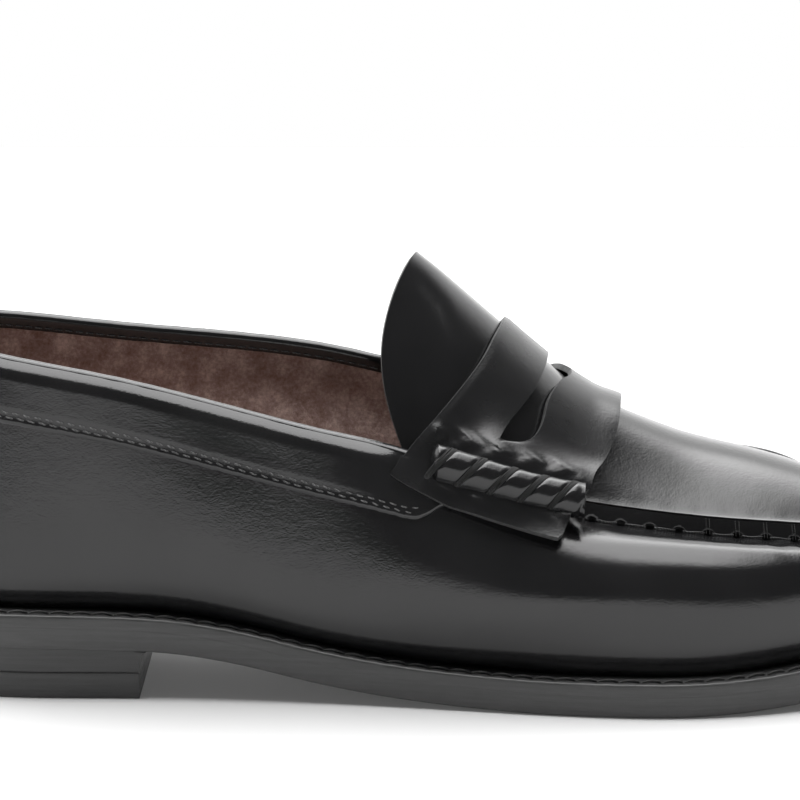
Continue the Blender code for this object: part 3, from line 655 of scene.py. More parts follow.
def woven(name, colour):
    look = Look(name, colour, 0.9, Sheen_Weight=0.2)
    cross = []
    for direction in ("X", "Z"):
        wave = look.node("ShaderNodeTexWave", bands_direction=direction)
        wave.inputs["Scale"].default_value = 320
        look.link(look.place, wave.inputs["Vector"])
        cross.append(wave.outputs["Fac"])
    weave = look.maths("MULTIPLY", cross[0], cross[1])
    look.colour(weave, (0.1, tuple(0.6 * c for c in colour)), (0.8, colour))
    look.bump(weave, 0.0002)
    return look.made


def bare_steel(name):
    look = Look(name, (0.45, 0.46, 0.47), 0.35, Metallic=1.0)
    streaks = look.noise(200, 3, 0.6, stretch=(0.2, 2, 2))
    look.roughness(streaks, 0.28, 0.5)
    look.bump(streaks, 0.00002)
    return look.made


def make_looks():
    return {
        "leather": polished_leather("black_leather"),
        "strap": polished_leather("black_strap_leather", 0.23),
        "edge": cut_edge("leather_cut_edge"),
        "suede": brown_suede("brown_suede"),
        "thread": waxed_thread("black_waxed_thread"),
        "stitch": waxed_thread("black_fine_thread", (0.045, 0.045, 0.045), 0.3),
        "lashing": waxed_thread("black_lashing_thread", (0.007, 0.007, 0.007), 0.6, 0.2),
        "grey_thread": waxed_thread("grey_thread", (0.07, 0.07, 0.068)),
        "sole_edge": sole_edge("sole_edge", 0.053, 0.36),
        "heel_edge": sole_edge("heel_edge", 0.047, 0.45),
        "sole": sole_leather("sole_leather"),
        "lift": rubber("top_lift_rubber"),
        "sock": sock_leather("sock_leather"),
        "board": fibre("fibre_board", (0.42, 0.3, 0.18)),
        "cork": fibre("ground_cork", (0.45, 0.28, 0.14)),
        "canvas": woven("lining_canvas", (0.5, 0.44, 0.34)),
        "steel": bare_steel("bare_steel"),
    }


# ---------------------------------------------------------------- upper

def seam_length(u):
    """Distance along the upper's top edge, in millimetres, from the back of the heel."""
    return np.interp(u, FINE, travelled(FINE_ROUND[:, 2:5]))


SEWN_FROM = 176  # x from which the cross-sections stand close together
SEWN_SPACING = 0.22  # between them
SEAM_START = (183, 191)  # where the strap's edge uncovers it
ROUNDING_END = 15.0  # depth at which the wall leaves the seam's rounding


def wall_columns():
    """Cross-sections round the shoe: sparse along the quarters, close together along the sewn seam."""
    start, end = float(u_at_top_x(SEWN_FROM)), float(u_at_top_x(SEWN_FROM, medial=True))
    count = int((seam_length(end) - seam_length(start)) / SEWN_SPACING)
    lengths = np.linspace(seam_length(start), seam_length(end), count)
    dense = np.interp(lengths, travelled(FINE_ROUND[:, 2:5]), FINE)
    rest = np.linspace(end - 1, start, 300)[1:-1]
    return np.sort(np.concatenate([dense, rest % 1.0]))


def seam_share(u):
    """1 where the apron seam shows, 0 under the strap and along the quarters."""
    x = ROUND(u)[..., 2]
    return smooth(*SEAM_START, x)


def sewn_profile(u, depth, base, mask):
    """Bends the wall's top into a standing lip, a stitched groove and the full round below it."""
    out = outward(u)[:, None, :]
    top = base[:, :1]
    lip_foot = top + out * 0.9 - UP * LIP
    k = int(np.searchsorted(depth[0], ROUNDING_END))
    goal = base[:, k : k + 1]
    leave = unit(base[:, k + 1 : k + 2] - base[:, k : k + 1])
    span = np.linalg.norm(goal - lip_foot, axis=-1, keepdims=True)
    s = np.clip((depth - LIP) / (ROUNDING_END - LIP), 0, 1)[..., None]
    start_way = unit(out - UP * 0.45) * span * 0.7
    end_way = leave * span * 1.1
    h1, h2 = 2 * s**3 - 3 * s**2 + 1, s**3 - 2 * s**2 + s
    h3, h4 = -2 * s**3 + 3 * s**2, s**3 - s**2
    rounded = h1 * lip_foot + h2 * start_way + h3 * goal + h4 * end_way
    share = np.clip(depth / LIP, 0, 1)[..., None]
    lip = top + (lip_foot - top) * share
    below = np.where((depth < ROUNDING_END)[..., None], rounded, base)
    new = np.where((depth < LIP)[..., None], lip, below)
    return base + (new - base) * mask[:, None, None]


HOLE_DEPTH = 1.1  # of the seam's stitch holes
TOE_GATHERS = (205, 262)  # x over which the gathers grow to their full strength at the toe


def puckers(u, depth, mask):
    """Gathers that run down from the seam's stitches."""
    phase = seam_length(u) / SEAM_PITCH
    toe = smooth(*TOE_GATHERS, ROUND(u)[:, 2])
    fullness = np.cos(2 * math.pi * phase)[:, None]
    reach = 3.2 + 2.6 * toe[:, None]
    fade = smooth(LIP - 0.6, LIP + 1.0, depth) * np.exp(-np.maximum(depth - LIP - 0.6, 0) / reach)
    number = np.floor(phase + 0.5).astype(int)
    wobble = np.random.default_rng(3).uniform(0.6, 1.35, 4096)[number % 4096][:, None]
    amount = -(0.07 + 0.26 * toe[:, None]) * fullness * wobble
    within = (phase + 0.5) % 1.0 - 0.5
    spread = within[:, None] * (10.5 - 0.28 * np.clip(depth - LIP, 0, 12)) + 0.31 * number[:, None]
    fan = np.sin(2 * math.pi * spread) + 0.5 * np.sin(2 * math.pi * spread * 1.7 + 1.3 * number[:, None])
    strength = (0.1 + 0.08 * toe[:, None]) * wobble * np.exp(-((within[:, None] / 0.3) ** 2))
    fine = strength * fan * np.exp(-np.maximum(depth - LIP - 0.8, 0) / (2.0 + 1.6 * toe[:, None])) * 1.6
    pit = -HOLE_DEPTH * hump(within[:, None] * SEAM_PITCH, 0, 1.05) * hump(depth, LIP + 0.1, 0.55)
    return ((amount + fine) * fade + pit) * mask[:, None]


def upper_wall(looks):
    u = wall_columns()
    length = wall_length(u)
    near = np.concatenate([np.linspace(0, LIP - 0.6, 7), np.linspace(LIP - 0.3, LIP + 1.2, 6),
                           np.linspace(LIP + 1.7, 17.5, 22)])
    below = np.linspace(0, 1, 22)[1:]
    depth = np.concatenate([np.broadcast_to(near, (len(u), len(near))),
                            near[-1] + (length[:, None] - near[-1]) * below], axis=1)
    base = wall_by_depth(u, depth)
    mask = seam_share(u)
    shaped = sewn_profile(u, depth, base, mask)
    inner_side = smooth(*FAR_LIP_SPAN, ROUND(u)[:, 2]) * smooth(0.53, 0.56, u)
    shaped += UP * (FAR_LIP * inner_side[:, None] * np.clip(1 - depth / LIP, 0, 1))[..., None]
    way = skin_way(u, shaped, closed=True)
    lift = puckers(u, depth, mask)
    lift += 0.045 * wavy(shaped, 34, 5) * smooth(2, 12, depth) * smooth(0, 8, length[:, None] - depth)
    outer = shaped + way * lift[..., None]
    skived = 1.1 * mask[:, None] * (1 - smooth(0, LIP + 2, depth))
    skived += 0.9 * (1 - mask[:, None]) * (1 - smooth(0, 6, depth))
    thick = WALL - skived - 0.8 * (1 - smooth(2, 10, length[:, None] - depth))
    inner = shaped - way * thick[..., None]
    foot = outline(u, WELT_LEDGE + FLANGE)
    floor = sole_bottom(foot[:, 0]) + OUTSOLE + WELT + 2 * GAP
    turned = np.column_stack([foot, floor])[:, None]
    outer = np.concatenate([outer, turned], axis=1)
    inner[:, -1, 2] = outer[:, -2, 2] + WALL
    inner = np.concatenate([inner, turned + UP * WALL], axis=1)
    skins = [looks["leather"], looks["edge"]]
    made = sheet_mesh("upper_wall", outer[:, ::-1], inner[:, ::-1], skins, closed=True)
    place(made, "upper_leather", "vamp_wall")


def seam_distance(points):
    """Plan distance from each point to the apron seam."""
    u = np.linspace(float(u_at_top_x(140)), float(u_at_top_x(140, medial=True)), 900)
    line = ROUND(u)[:, 2:4]
    flat = points[..., :2].reshape(-1, 2)
    best = np.concatenate([
        np.sqrt(((part[:, None] - line[None]) ** 2).sum(-1)).min(axis=1) for part in np.array_split(flat, 40)
    ])
    return best.reshape(points.shape[:-1])


APRON = 1.7  # its thickness
APRON_FRONT = 277.2
TONGUE_FREE = (146, 158)  # x over which the tongue comes free of the seam
TONGUE_INSET = 4.6  # how much narrower it is there


def apron_leather(looks):
    """Apron and tongue, one piece of leather from the toe seam to the free end behind the strap."""
    q = np.sin(np.linspace(-math.pi / 2, math.pi / 2, 121))
    q = 0.35 * q + 0.65 * np.linspace(-1, 1, 121)
    share = np.linspace(0, 1, 260)
    share = 1 - (1 - share) ** 1.35
    rear = line_through(TONGUE_REAR)(q)[:, 0]
    x = rear[None] + (APRON_FRONT - rear)[None] * share[:, None]
    grid = apron(x, q[None])
    middle = grid[:, 60:61, 1]
    free = 1 - smooth(*TONGUE_FREE, grid[..., 0])
    inset = 1.0 + TONGUE_INSET * free
    half = np.abs(grid[..., 1] - middle)
    widest = np.maximum(half[:, -1:], half[:, :1]).clip(3)
    grid[..., 1] = middle + (grid[..., 1] - middle) * (1 - inset / widest)
    sewn = smooth(178, 190, grid[..., 0])
    away = seam_distance(grid)
    lip = sewn * (0.5 * np.exp(-np.maximum(away - 1.0, 0) / 0.8) - 0.2)
    grid[..., 2] += lip + 0.5 * (1 - sewn)
    way = normals(grid)
    curl = (1 - smooth(0, 9, grid[..., 0] - rear[None])) * (1 - smooth(0.6, 1.0, np.abs(q))[None])
    phase = grid[..., 0] / SEAM_PITCH
    ripple = 0.02 * np.cos(2 * math.pi * phase) * hump(away, 2.0, 2.2) * sewn
    lift = 0.05 * wavy(grid, 30, 11) * smooth(3, 10, away) - 0.35 * curl**2 + ripple
    outer = grid + way * lift[..., None]
    inner = outer - way * APRON
    made = sheet_mesh("apron_leather", outer, inner, [looks["leather"], looks["edge"]])
    soften(made, 0.3)
    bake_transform(made)
    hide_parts("plug", "tongue")


# ---------------------------------------------------------------- strap and beef rolls

def strap_lines(q, across):
    """x of the strap's lengthwise lines at each q: rear edge to slot, across the slot, slot to front edge."""
    rear = line_through(STRAP_REAR)(q)[:, 0]
    front = line_through(STRAP_FRONT)(q)[:, 0]
    rear_lip = line_through(SLOT_REAR)(q)[:, 0]
    rounding = np.sqrt(np.maximum(0, 1 - (np.abs(q) / SLOT_END) ** 26))
    front_lip = rear_lip + np.maximum(0.3, line_through(SLOT_WIDTH)(np.abs(q))[:, 0] * rounding)
    first, slot, last = across
    parts = [
        rear + (rear_lip - rear) * np.linspace(0, 1, first)[:, None],
        rear_lip + (front_lip - rear_lip) * np.linspace(0, 1, slot + 1)[1:-1, None],
        front_lip + (front - front_lip) * np.linspace(0, 1, last)[:, None],
    ]
    return np.concatenate(parts)


def tab_points(medial, fractions, shares):
    """Strap points on the wall below the seam; the tab is deepest at its front, with a rounded corner."""
    rows = []
    corner = 3.0 * (np.maximum(0, fractions - 0.945) / 0.055) ** 2
    depth = 5.2 + 4.2 * np.minimum(1, fractions / 0.33) ** 0.7 + 0.9 * fractions - corner
    for share in shares:
        rear = STRAP_SEAM[0] + (STRAP_TAB[0] - STRAP_SEAM[0]) * share
        front = STRAP_SEAM[1] + (STRAP_TAB[1] - STRAP_SEAM[1]) * share
        x = rear + (front - rear) * fractions
        u = u_at_top_x(x, medial)
        points = wall_by_depth(u, depth_at_drop(u, depth * share)[:, None])
        rows.append(points[:, 0])
    return np.stack(rows)


STRAP_FLARE = 3.0  # how far it rises towards the roll
STRAP_HALF = 48  # leather from the seam to the crown
TAB_LENGTH = 9  # and from the seam down to the tab's end


def penny_strap(looks):
    across = (24, 7, 26)
    q = np.linspace(-1, 1, 361)
    lines = strap_lines(q, across)
    over = apron(lines, q[None])
    span = lines - lines[:1]
    fractions = span[:, 0] / span[-1, 0]
    shares = np.linspace(1, 0, 30)[:-1]
    lateral = tab_points(False, fractions, shares).transpose(1, 0, 2)
    medial = tab_points(True, fractions, shares).transpose(1, 0, 2)[:, ::-1]
    grid = np.concatenate([lateral, over, medial], axis=1)
    n = len(shares)
    tab = -TAB_LENGTH * shares
    run = np.concatenate([tab, (1 - np.abs(q)) * STRAP_HALF, tab[::-1]])
    for _ in range(5):
        grid[:, 1:-1] = 0.5 * grid[:, 1:-1] + 0.25 * (grid[:, :-2] + grid[:, 2:])
    flare = STRAP_FLARE * hump(np.maximum(run, 2.5), 2.5, 5.8) * (0.12 + 0.88 * smooth(-TAB_LENGTH, 2.5, run))
    flare = flare[None] * smooth(0.15, 0.5, fractions)[:, None]
    level = 0.9 + 0.7 * (1 - smooth(-2, 12, run))
    stand = 0.7 * smooth(0.72, 1.0, fractions)[:, None] * smooth(8, 30, run)[None]
    lift = level[None] + flare + stand + 0.05 * wavy(grid, 26, 17) + strap_gathers(grid, run, fractions)
    way = normals(grid)
    thick = STRAP - 0.25 * (1 - smooth(0, 0.05, fractions))[:, None]
    base = grid + way * lift[..., None]
    top = base + way * (thick * np.ones(lift.shape))[..., None]
    hole = np.zeros(grid.shape[:2], bool)
    slot_rows = slice(across[0] - 1, across[0] + across[1] - 1)
    inside = np.abs((q[1:] + q[:-1]) / 2) < SLOT_END
    hole[slot_rows, n : n + len(inside)] = inside[None]
    made = sheet_mesh("strap_leather", top, base, [looks["strap"], looks["edge"]], hole=hole)
    soften(made, 0.35, 3)
    place(made, "upper_leather", "penny_strap")


def strap_gathers(grid, run, fractions):
    """Leather pinched between the lashings along both sides of the beef roll, and creases behind its rear."""
    phase = (grid[..., 0] - ROLL_START) / WRAP_PITCH - 0.5
    above = hump(run, 4.2, 1.5)[None]
    below = hump(run, -4.9, 1.1)[None]
    slant = 0.35 * (above - below)
    bulge = 0.5 - 0.5 * np.cos(2 * math.pi * (phase + 0.5 - slant))
    along = smooth(ROLL_START - 4, ROLL_START, grid[..., 0]) * (1 - smooth(186, 190, grid[..., 0]))
    fine = np.sin(grid[..., 0] * 3.1 + run[None] * 2.6 + 2.2 * wavy(grid, 6, 21))
    gather = (0.7 * above + 0.5 * below) * (bulge * (1 + 0.2 * fine) + 0.12 * fine) * along
    behind = hump(grid[..., 0] - 0.35 * run[None], ROLL_START - 3.5, 2.6) * hump(run, 1.0, 4.5)[None]
    creases = 0.16 * np.sin(grid[..., 0] * 3.4 + 1.6 * wavy(grid, 5, 23) + 0.5 * run[None]) * behind
    inward = smooth(0.0, 0.05, fractions)[:, None]
    return (gather + creases) * inward


ROLL_START = 152.6  # centre of the first lashing
ROLL_END = 190.4
ROLL_RISE = 4.6  # out of the strap's face


def roll_frame(medial, x):
    """Centre of the beef roll's foot on the strap, the ways out and down across it, and half its breadth."""
    x = np.asarray(x, float)
    side = 1.0 if medial else -1.0

    def edges(at):
        ends = np.clip(at, ROLL_START - 3, ROLL_END)
        high = apron(ends, np.full(ends.shape, 0.945 * side))
        u = u_at_top_x(ends, medial)
        low = wall_by_depth(u, depth_at_drop(u, 4.1)[:, None])
        shift = (at - ends)[:, None] * np.array([1.0, 0.0, -0.36])
        return high + shift, low[:, 0] + shift

    high, low = edges(x)
    ahead = np.subtract(*[(a + b) / 2 for a, b in (edges(x + 0.5), edges(x - 0.5))])
    down = unit(low - high)
    away = unit(np.cross(unit(ahead), down)) * -side
    away *= np.sign(away[:, 1:2] * side)
    centre = (high + low) / 2 + away * 2.9 + (0, 1.9 * side, 0)
    return centre, away, down, np.linalg.norm(low - high, axis=1) / 2


def roll_slant(angle):
    """How far forward the lashings lie at an angle round the roll, zero at its outermost line."""
    return -0.42 * WRAP_PITCH * np.sin(angle)


def beefroll(looks, medial):
    side = "medial" if medial else "lateral"
    lines = np.linspace(0, 1, 281)
    turn = np.arange(48) * 2 * math.pi / 48
    x = ROLL_START - 2.4 + (ROLL_END - ROLL_START + 2.4) * lines
    centre, away, down, half = roll_frame(medial, x)
    from_band = (x[:, None] - roll_slant(turn)[None] - ROLL_START) / WRAP_PITCH
    within = np.abs((from_band + 0.5) % 1.0 - 0.5) * WRAP_PITCH
    shrink = 1 - 0.2 * np.exp(-((within / 0.85) ** 2))
    tail = np.sqrt(np.clip(lines / 0.04, 0.02, 1))[:, None]
    rise = ROLL_RISE * shrink * tail
    wide = (half * 0.98)[:, None] * (0.5 + 0.5 * shrink) * tail
    front = -1.1 * np.cos(turn)[None] * smooth(0.9, 1.0, lines)[:, None]
    sections = (
        centre[:, None]
        + away[:, None] * (rise * np.cos(turn))[..., None]
        + down[:, None] * (wide * np.sin(turn))[..., None]
    )
    sections[..., 0] += front
    back = unit(centre[-6] - centre[-1])
    middle = centre[-1] - away[-1] * 0.2
    hollow = [
        middle + (sections[-1] - middle) * share + back * deep
        for share, deep in ((0.9, 0.05), (0.74, 0.35), (0.66, 1.6), (0.6, 3.4))
    ]
    sections = np.concatenate([sections, np.stack(hollow)])
    made = swept(f"beefroll_{side}_leather", sections, looks["leather"], closed=False)
    place(made, "upper_leather", f"beefroll_{side}")
    roll_core(looks, side, centre, away, down, half)
    roll_lashing(looks, side, medial)


def roll_core(looks, side, centre, away, down, half):
    """The rolled leather seen in the open front end: a loose spiral."""
    angle = np.linspace(0, 3.2 * math.pi, 60)
    reach = np.linspace(0.55, 0.12, 60)[:, None]
    at = -4
    spiral = centre[at] - away[at] * 0.2
    breadth, rise = down[at] * half[at], away[at] * ROLL_RISE
    spiral = spiral + (rise * np.cos(angle)[:, None] + breadth * np.sin(angle)[:, None]) * reach
    along = unit(centre[-1] - centre[-6])
    quads = []
    for thick, run in ((0.35, -3.0), (0.35, 0.2), (-0.35, 0.2), (-0.35, -3.0)):
        outwards = unit(spiral - (centre[at] - away[at] * 0.2))
        quads.append(spiral + outwards * thick + along * run)
    made = swept(f"beefroll_{side}_core", np.stack(quads, axis=1), looks["edge"], closed=False)
    place(made, "upper_leather")


STRAND_PITCH = 0.27  # between the strands of a lashing
STRAND_RADIUS = 0.2
LASHING_TURN = 1.62  # radians that a lashing runs to either side of the roll's outermost line


def roll_lashing(looks, side, medial):
    """Five flat lashings of several strands each, slanting across the roll into a hole at either edge."""
    local = np.random.default_rng(12 if medial else 11)
    angle = np.linspace(-LASHING_TURN, LASHING_TURN, 30)
    paths = []
    for number in range(5):
        for strand in range(6):
            across = (strand - 2.5) * STRAND_PITCH + local.uniform(-0.05, 0.05)
            gather = 1 - 0.35 * (np.abs(angle) / LASHING_TURN) ** 4
            wander = 0.12 * np.sin(angle * local.uniform(1.5, 3) + local.uniform(0, 6))
            x = ROLL_START + WRAP_PITCH * number + across * gather + wander + roll_slant(angle)
            c, a, d, half = roll_frame(medial, x)
            dome = 0.12 * (1 - (across / 0.9) ** 2) + local.uniform(-0.04, 0.06)
            sunk = 0.6 * (np.abs(angle) / LASHING_TURN) ** 8
            out = (ROLL_RISE * 0.88 + 0.25 + dome) * np.abs(np.cos(angle)) - sunk * 2
            wide = (half * 0.93 + 0.15) * np.sin(angle)
            paths.append(c + a * out[:, None] + d * wide[:, None])
    made = thread_mesh(f"lashing_{side}_threads", paths, STRAND_RADIUS, looks["lashing"])
    place(made, "thread", f"lashing_{side}")


# ---------------------------------------------------------------- topline, collar and linings

COLLAR_FRONT = 157  # x of the front ends, hidden under the strap
COLLAR_STITCH_FRONT = 149.5
BINDING_FRONT = 147.5
LINING_FRONT = 150


def heel_span(x, steps):
    """Steps round the heel between the lateral and the medial point of the top edge at x."""
    lateral = float(u_at_top_x(x))
    medial = float(u_at_top_x(x, medial=True))
    return np.linspace(medial - 1, lateral, steps)


def collar_depth(u):
    """Depth of the collar's cut edge; at its front ends it turns up in a rounded corner."""
    x = ROUND(u)[:, 2]
    front = np.interp(x, *np.array(COLLAR_END).T)
    return depth_at_drop(u, COLLAR_DEPTH) * front + 0.1 * np.sin(x * 1.7) * np.sin(x * 0.61)


def collar_band(looks):
    u = heel_span(COLLAR_FRONT, 620)
    deep = collar_depth(u)
    share = np.concatenate([[0, 0.015, 0.04], np.linspace(0.08, 1, 20)])
    depth = deep[:, None] * (1 - share[None])
    base = wall_by_depth(u, depth)
    way = skin_way(u, base)
    dents = stitch_dents(u, depth, deep)
    round_over = 0.45 * (1 - smooth(0, 0.05, share)) ** 2
    lift = GAP + COLLAR - round_over[None] - dents + 0.03 * wavy(base, 12, 31)
    outer = base + way * lift[..., None]
    inner = base + way * 0.12
    made = sheet_mesh("collar_leather", outer, inner, [looks["leather"], looks["edge"]])
    place(made, "upper_leather", "collar_band")


def stitch_spans(run):
    """The distances each machine stitch covers along a line of length run[-1], one array for each."""
    for number in range(int(run[-1] / COLLAR_PITCH)):
        yield np.linspace(number + 0.12, number + 0.88, 5) * COLLAR_PITCH


STITCH_ROWS = (1.9, 3.15)  # of the collar, above its cut edge


def stitch_dents(u, depth, deep):
    """The leather sinks a little along the two rows of stitches."""
    return sum(0.16 * hump(deep[:, None] - depth, row, 0.5) for row in STITCH_ROWS)


def collar_threads(looks):
    u = heel_span(COLLAR_STITCH_FRONT, 3000)
    deep = np.interp(u, u[::10], collar_depth(u[::10]))
    for name, row, shift in (("lower", STITCH_ROWS[0], 0.0), ("upper", STITCH_ROWS[1], 0.45)):
        line = wall_by_depth(u, (deep - row)[:, None])
        line = line[:, 0] + outward(u) * (GAP + COLLAR - 0.12)
        run = travelled(line)
        arch = 0.26 * np.sin(np.linspace(0, math.pi, 7)) - 0.2
        slant = np.linspace(0.14, -0.14, 7)
        paths = []
        number = 0
        while (number + 1 + shift) * COLLAR_PITCH < run[-1]:
            at = np.linspace(*(np.array([0.12, 0.86]) + number + shift) * COLLAR_PITCH, 7)
            way = outward(np.interp(at, run, u))
            paths.append(along_line(at, run, line) + way * arch[:, None] + UP * slant[:, None])
            number += 1
        made = thread_mesh(f"collar_stitches_{name}", paths, 0.22, looks["stitch"])
        place(made, "thread", f"collar_thread_{name}")


BINDING_PROFILE = [  # out of the topline and up, from the outer edge over the top to the inner one and back
    (-1.3, 0.5), (-1.4, 1.0), (-1.75, 1.45), (-2.5, 1.8), (-3.5, 1.9), (-4.5, 1.65), (-5.15, 1.1),
    (-5.4, 0.3), (-5.25, -0.6), (-5.0, -1.4), (-4.75, -2.3), (-4.6, -2.8), (-4.45, -3.0), (-4.1, -2.95),
    (-4.0, -2.5), (-4.25, -1.6), (-4.5, -0.7), (-4.6, 0.0), (-4.0, 0.6), (-3.0, 0.8), (-2.0, 0.75),
]


def topline_binding(looks):
    u = heel_span(BINDING_FRONT, 420)
    top = ROUND(u)[:, 2:5]
    out = outward(u)
    along = 1 - smooth(*ROLL_FADE, ROUND(u)[:, 2])
    top = top + out * ((1 - along) * TOPLINE_TURN - (TOPLINE_TURN - 2.2))[:, None]
    corners = np.stack([top + out * away + UP * height for away, height in BINDING_PROFILE], axis=1)
    corners += normals(corners) * 0.04 * wavy(corners, 7, 41)[..., None]
    made = swept("topline_binding_leather", corners, looks["leather"], closed=False, sharp=75)
    place(made, "upper_leather", "topline_binding")
    run = travelled(top)
    line = top - out * 4.95 - UP * 2.1
    arch = (0.22 * np.sin(np.linspace(0, math.pi, 5)) - 0.08)[:, None]
    paths = [along_line(at, run, line) - outward(np.interp(at, run, u)) * arch for at in stitch_spans(run)]
    made = thread_mesh("binding_stitches", paths, 0.2, looks["thread"], sides=5)
    place(made, "thread")


def suede_lining(looks):
    u = heel_span(LINING_FRONT, 360)
    length = wall_length(u)
    share = np.linspace(0, 1, 60)[None]
    depth = 2.4 + (length[:, None] - 6.7) * share
    base = wall_by_depth(u, depth)
    way = skin_way(u, base)
    full = WALL + GAP + 1.3 + GAP
    inset = (WALL + GAP) + (full - WALL - GAP) * smooth(15, 26, depth)
    nap = 0.07 * wavy(base, 3.2, 51) + 0.16 * wavy(base, 17, 52)
    outer = base - way * inset[..., None]
    inner = base - way * (inset + 0.9 + nap)[..., None]
    made = sheet_mesh("suede_lining", outer[:, ::-1], inner[:, ::-1], [looks["suede"]])
    place(made, "suede", "quarter_lining")


def backstay(looks):
    u = np.linspace(-0.0145, 0.0145, 41)
    top = depth_at_drop(u, COLLAR_DEPTH - 1.0)
    length = wall_length(u)
    share = np.linspace(0, 1, 60)[None]
    depth = top[:, None] + (length - top - 0.6)[:, None] * share
    base = wall_by_depth(u, depth)
    way = skin_way(u, base)
    edge = np.minimum(np.arange(41), 40 - np.arange(41)) / 4.0
    lift = 0.35 + 0.75 * np.sqrt(np.clip(edge, 0, 1))[:, None] - 0.15 * hump(edge, 1.3, 0.3)[:, None]
    lift = lift * np.ones_like(share)
    made = sheet_mesh("backstay_leather", (base + way * lift[..., None])[:, ::-1],
                      (base + way * 0.1)[:, ::-1], [looks["leather"], looks["edge"]])
    place(made, "upper_leather", "backstay")
    arch = (0.3 * np.sin(np.linspace(0, math.pi, 5)) - 0.12)[:, None]
    paths = []
    for column in (5, 35):
        line = (base + way * 1.0)[column]
        run = travelled(line)
        paths += [along_line(at, run, line) + way[column, 20] * arch for at in stitch_spans(run)]
    made = thread_mesh("backstay_stitches", paths, 0.24, looks["grey_thread"], sides=5)
    place(made, "thread")


# ---------------------------------------------------------------- seam and welt threads

def apron_seam_threads(looks):
    """Short hand stitches from hole to hole under the seam's lip, and the fine threads that cross the lip."""
    phase_now = seam_length(FINE) / SEAM_PITCH
    local = np.random.default_rng(5)
    paths, crossings = [], []
    first = math.ceil(float(seam_length(u_at_top_x(190))) / SEAM_PITCH)
    last = math.floor(float(seam_length(u_at_top_x(190, medial=True))) / SEAM_PITCH)
    for number in range(first, last):
        for strand in (-0.16, 0.16):
            at = np.linspace(number + 0.14, number + 0.86, 11)
            u = np.interp(at, phase_now, FINE)
            top = ROUND(u)[:, 2:5]
            arch = np.sin(np.linspace(0, math.pi, 11)) * 0.5 - 0.35
            away = 1.15 + arch + strand * 0.6
            fall = LIP - 0.1 - strand + 0.1 * np.sin(np.linspace(0, 6, 11) + local.uniform(0, 6))
            paths.append(top + outward(u) * away[:, None] - UP * fall[:, None])
        if 222 > float(ROUND(np.interp(number, phase_now, FINE))[2]):
            continue
        for shift in (-0.07, 0.06):
            u0 = np.full(7, np.interp(number + shift + local.uniform(-0.02, 0.02), phase_now, FINE))
            rise = np.linspace(0, 1, 7)
            face = 0.9 * (1 - rise)
            c = ROUND(u0)[:, 2:5] + outward(u0) * face[:, None]
            crossings.append(c - UP * (LIP * (1 - rise) + 0.1)[:, None])
    made = thread_mesh("apron_seam_stitches", paths, 0.2, looks["stitch"])
    place(made, "thread", "plug_thread")
    made = thread_mesh("apron_seam_crossings", crossings, 0.13, looks["thread"], sides=5)
    place(made, "thread")


def outline_run(inset):
    """Distance round the shoe along its outline moved in by inset."""
    return travelled(outline(FINE, inset))


WELT_COLUMNS = 1100
STITCH_INSET = 3.3  # of the welt's stitches from the sole edge


def welt_stitches(run):
    return int(round(run[-1] / WELT_PITCH))


def welt_threads(looks):
    run = outline_run(STITCH_INSET)
    count = welt_stitches(run)
    paths = []
    for number in range(count):
        at = (np.linspace(0.06, 0.94, 9) + number) * run[-1] / count
        u = np.interp(at, run, FINE)
        arch = 0.42 * np.sin(np.linspace(0, math.pi, 9)) ** 0.8 - 0.22
        path = sole_point(u, STITCH_INSET, OUTSOLE + WELT + GAP + 0.1 + arch)
        paths.append(path + outward(u) * np.linspace(0.3, -0.3, 9)[:, None])
    made = thread_mesh("welt_stitches", paths, 0.33, looks["thread"], sides=7)
    place(made, "thread", "welt_thread")


# ---------------------------------------------------------------- soling

def sole_point(u, inset, height):
    """Points over the sole: inset from its edge, height above its underside."""
    plan = outline(u, inset)
    return np.column_stack([plan, sole_bottom(plan[:, 0]) + height])


def welt_piece(looks):
    low = OUTSOLE + 0.02
    high = OUTSOLE + GAP + WELT
    insets = [0.05, 0.0, 0.1, 0.38, 0.8, 1.4, 2.2, 2.7, 3.3, 3.9, 4.4, 5.2, 6.5, WELT_WIDTH, WELT_WIDTH]
    heights = [low, high - 0.9, high - 0.5, high - 0.12] + [high] * 10 + [low]
    u = np.arange(WELT_COLUMNS) / WELT_COLUMNS
    corners = np.stack([sole_point(u, *pair) for pair in zip(insets, heights)], axis=1)
    run = outline_run(STITCH_INSET)
    phase = np.interp(u, FINE, run) / run[-1] * welt_stitches(run)
    within = (phase + 0.5) % 1.0 - 0.5
    insets = np.array(insets)
    groove = 0.3 * hump(insets, STITCH_INSET, 0.9)[None]
    holes = 0.5 * hump(within[:, None] * WELT_PITCH, 0, 0.8) * hump(insets, STITCH_INSET, 0.8)[None]
    wheel = 0.1 * np.cos(2 * math.pi * phase)[:, None] * hump(insets, 1.9, 1.2)[None]
    top = np.array([4 <= k <= 12 for k in range(len(insets))])
    corners[..., 2] -= (groove + holes + wheel) * top[None]
    made = swept("welt_strip", corners, looks["sole_edge"], sharp=75)
    place(made, "sole_leather", "welt")


ACROSS = np.linspace(0, 1, 25)[:, None]  # steps from one side of a plate to the other


def across_plate(left, right):
    """Lines of points from the left rim of a plate to the right one."""
    return [a * (1 - ACROSS) + b * ACROSS for a, b in zip(left, right)]


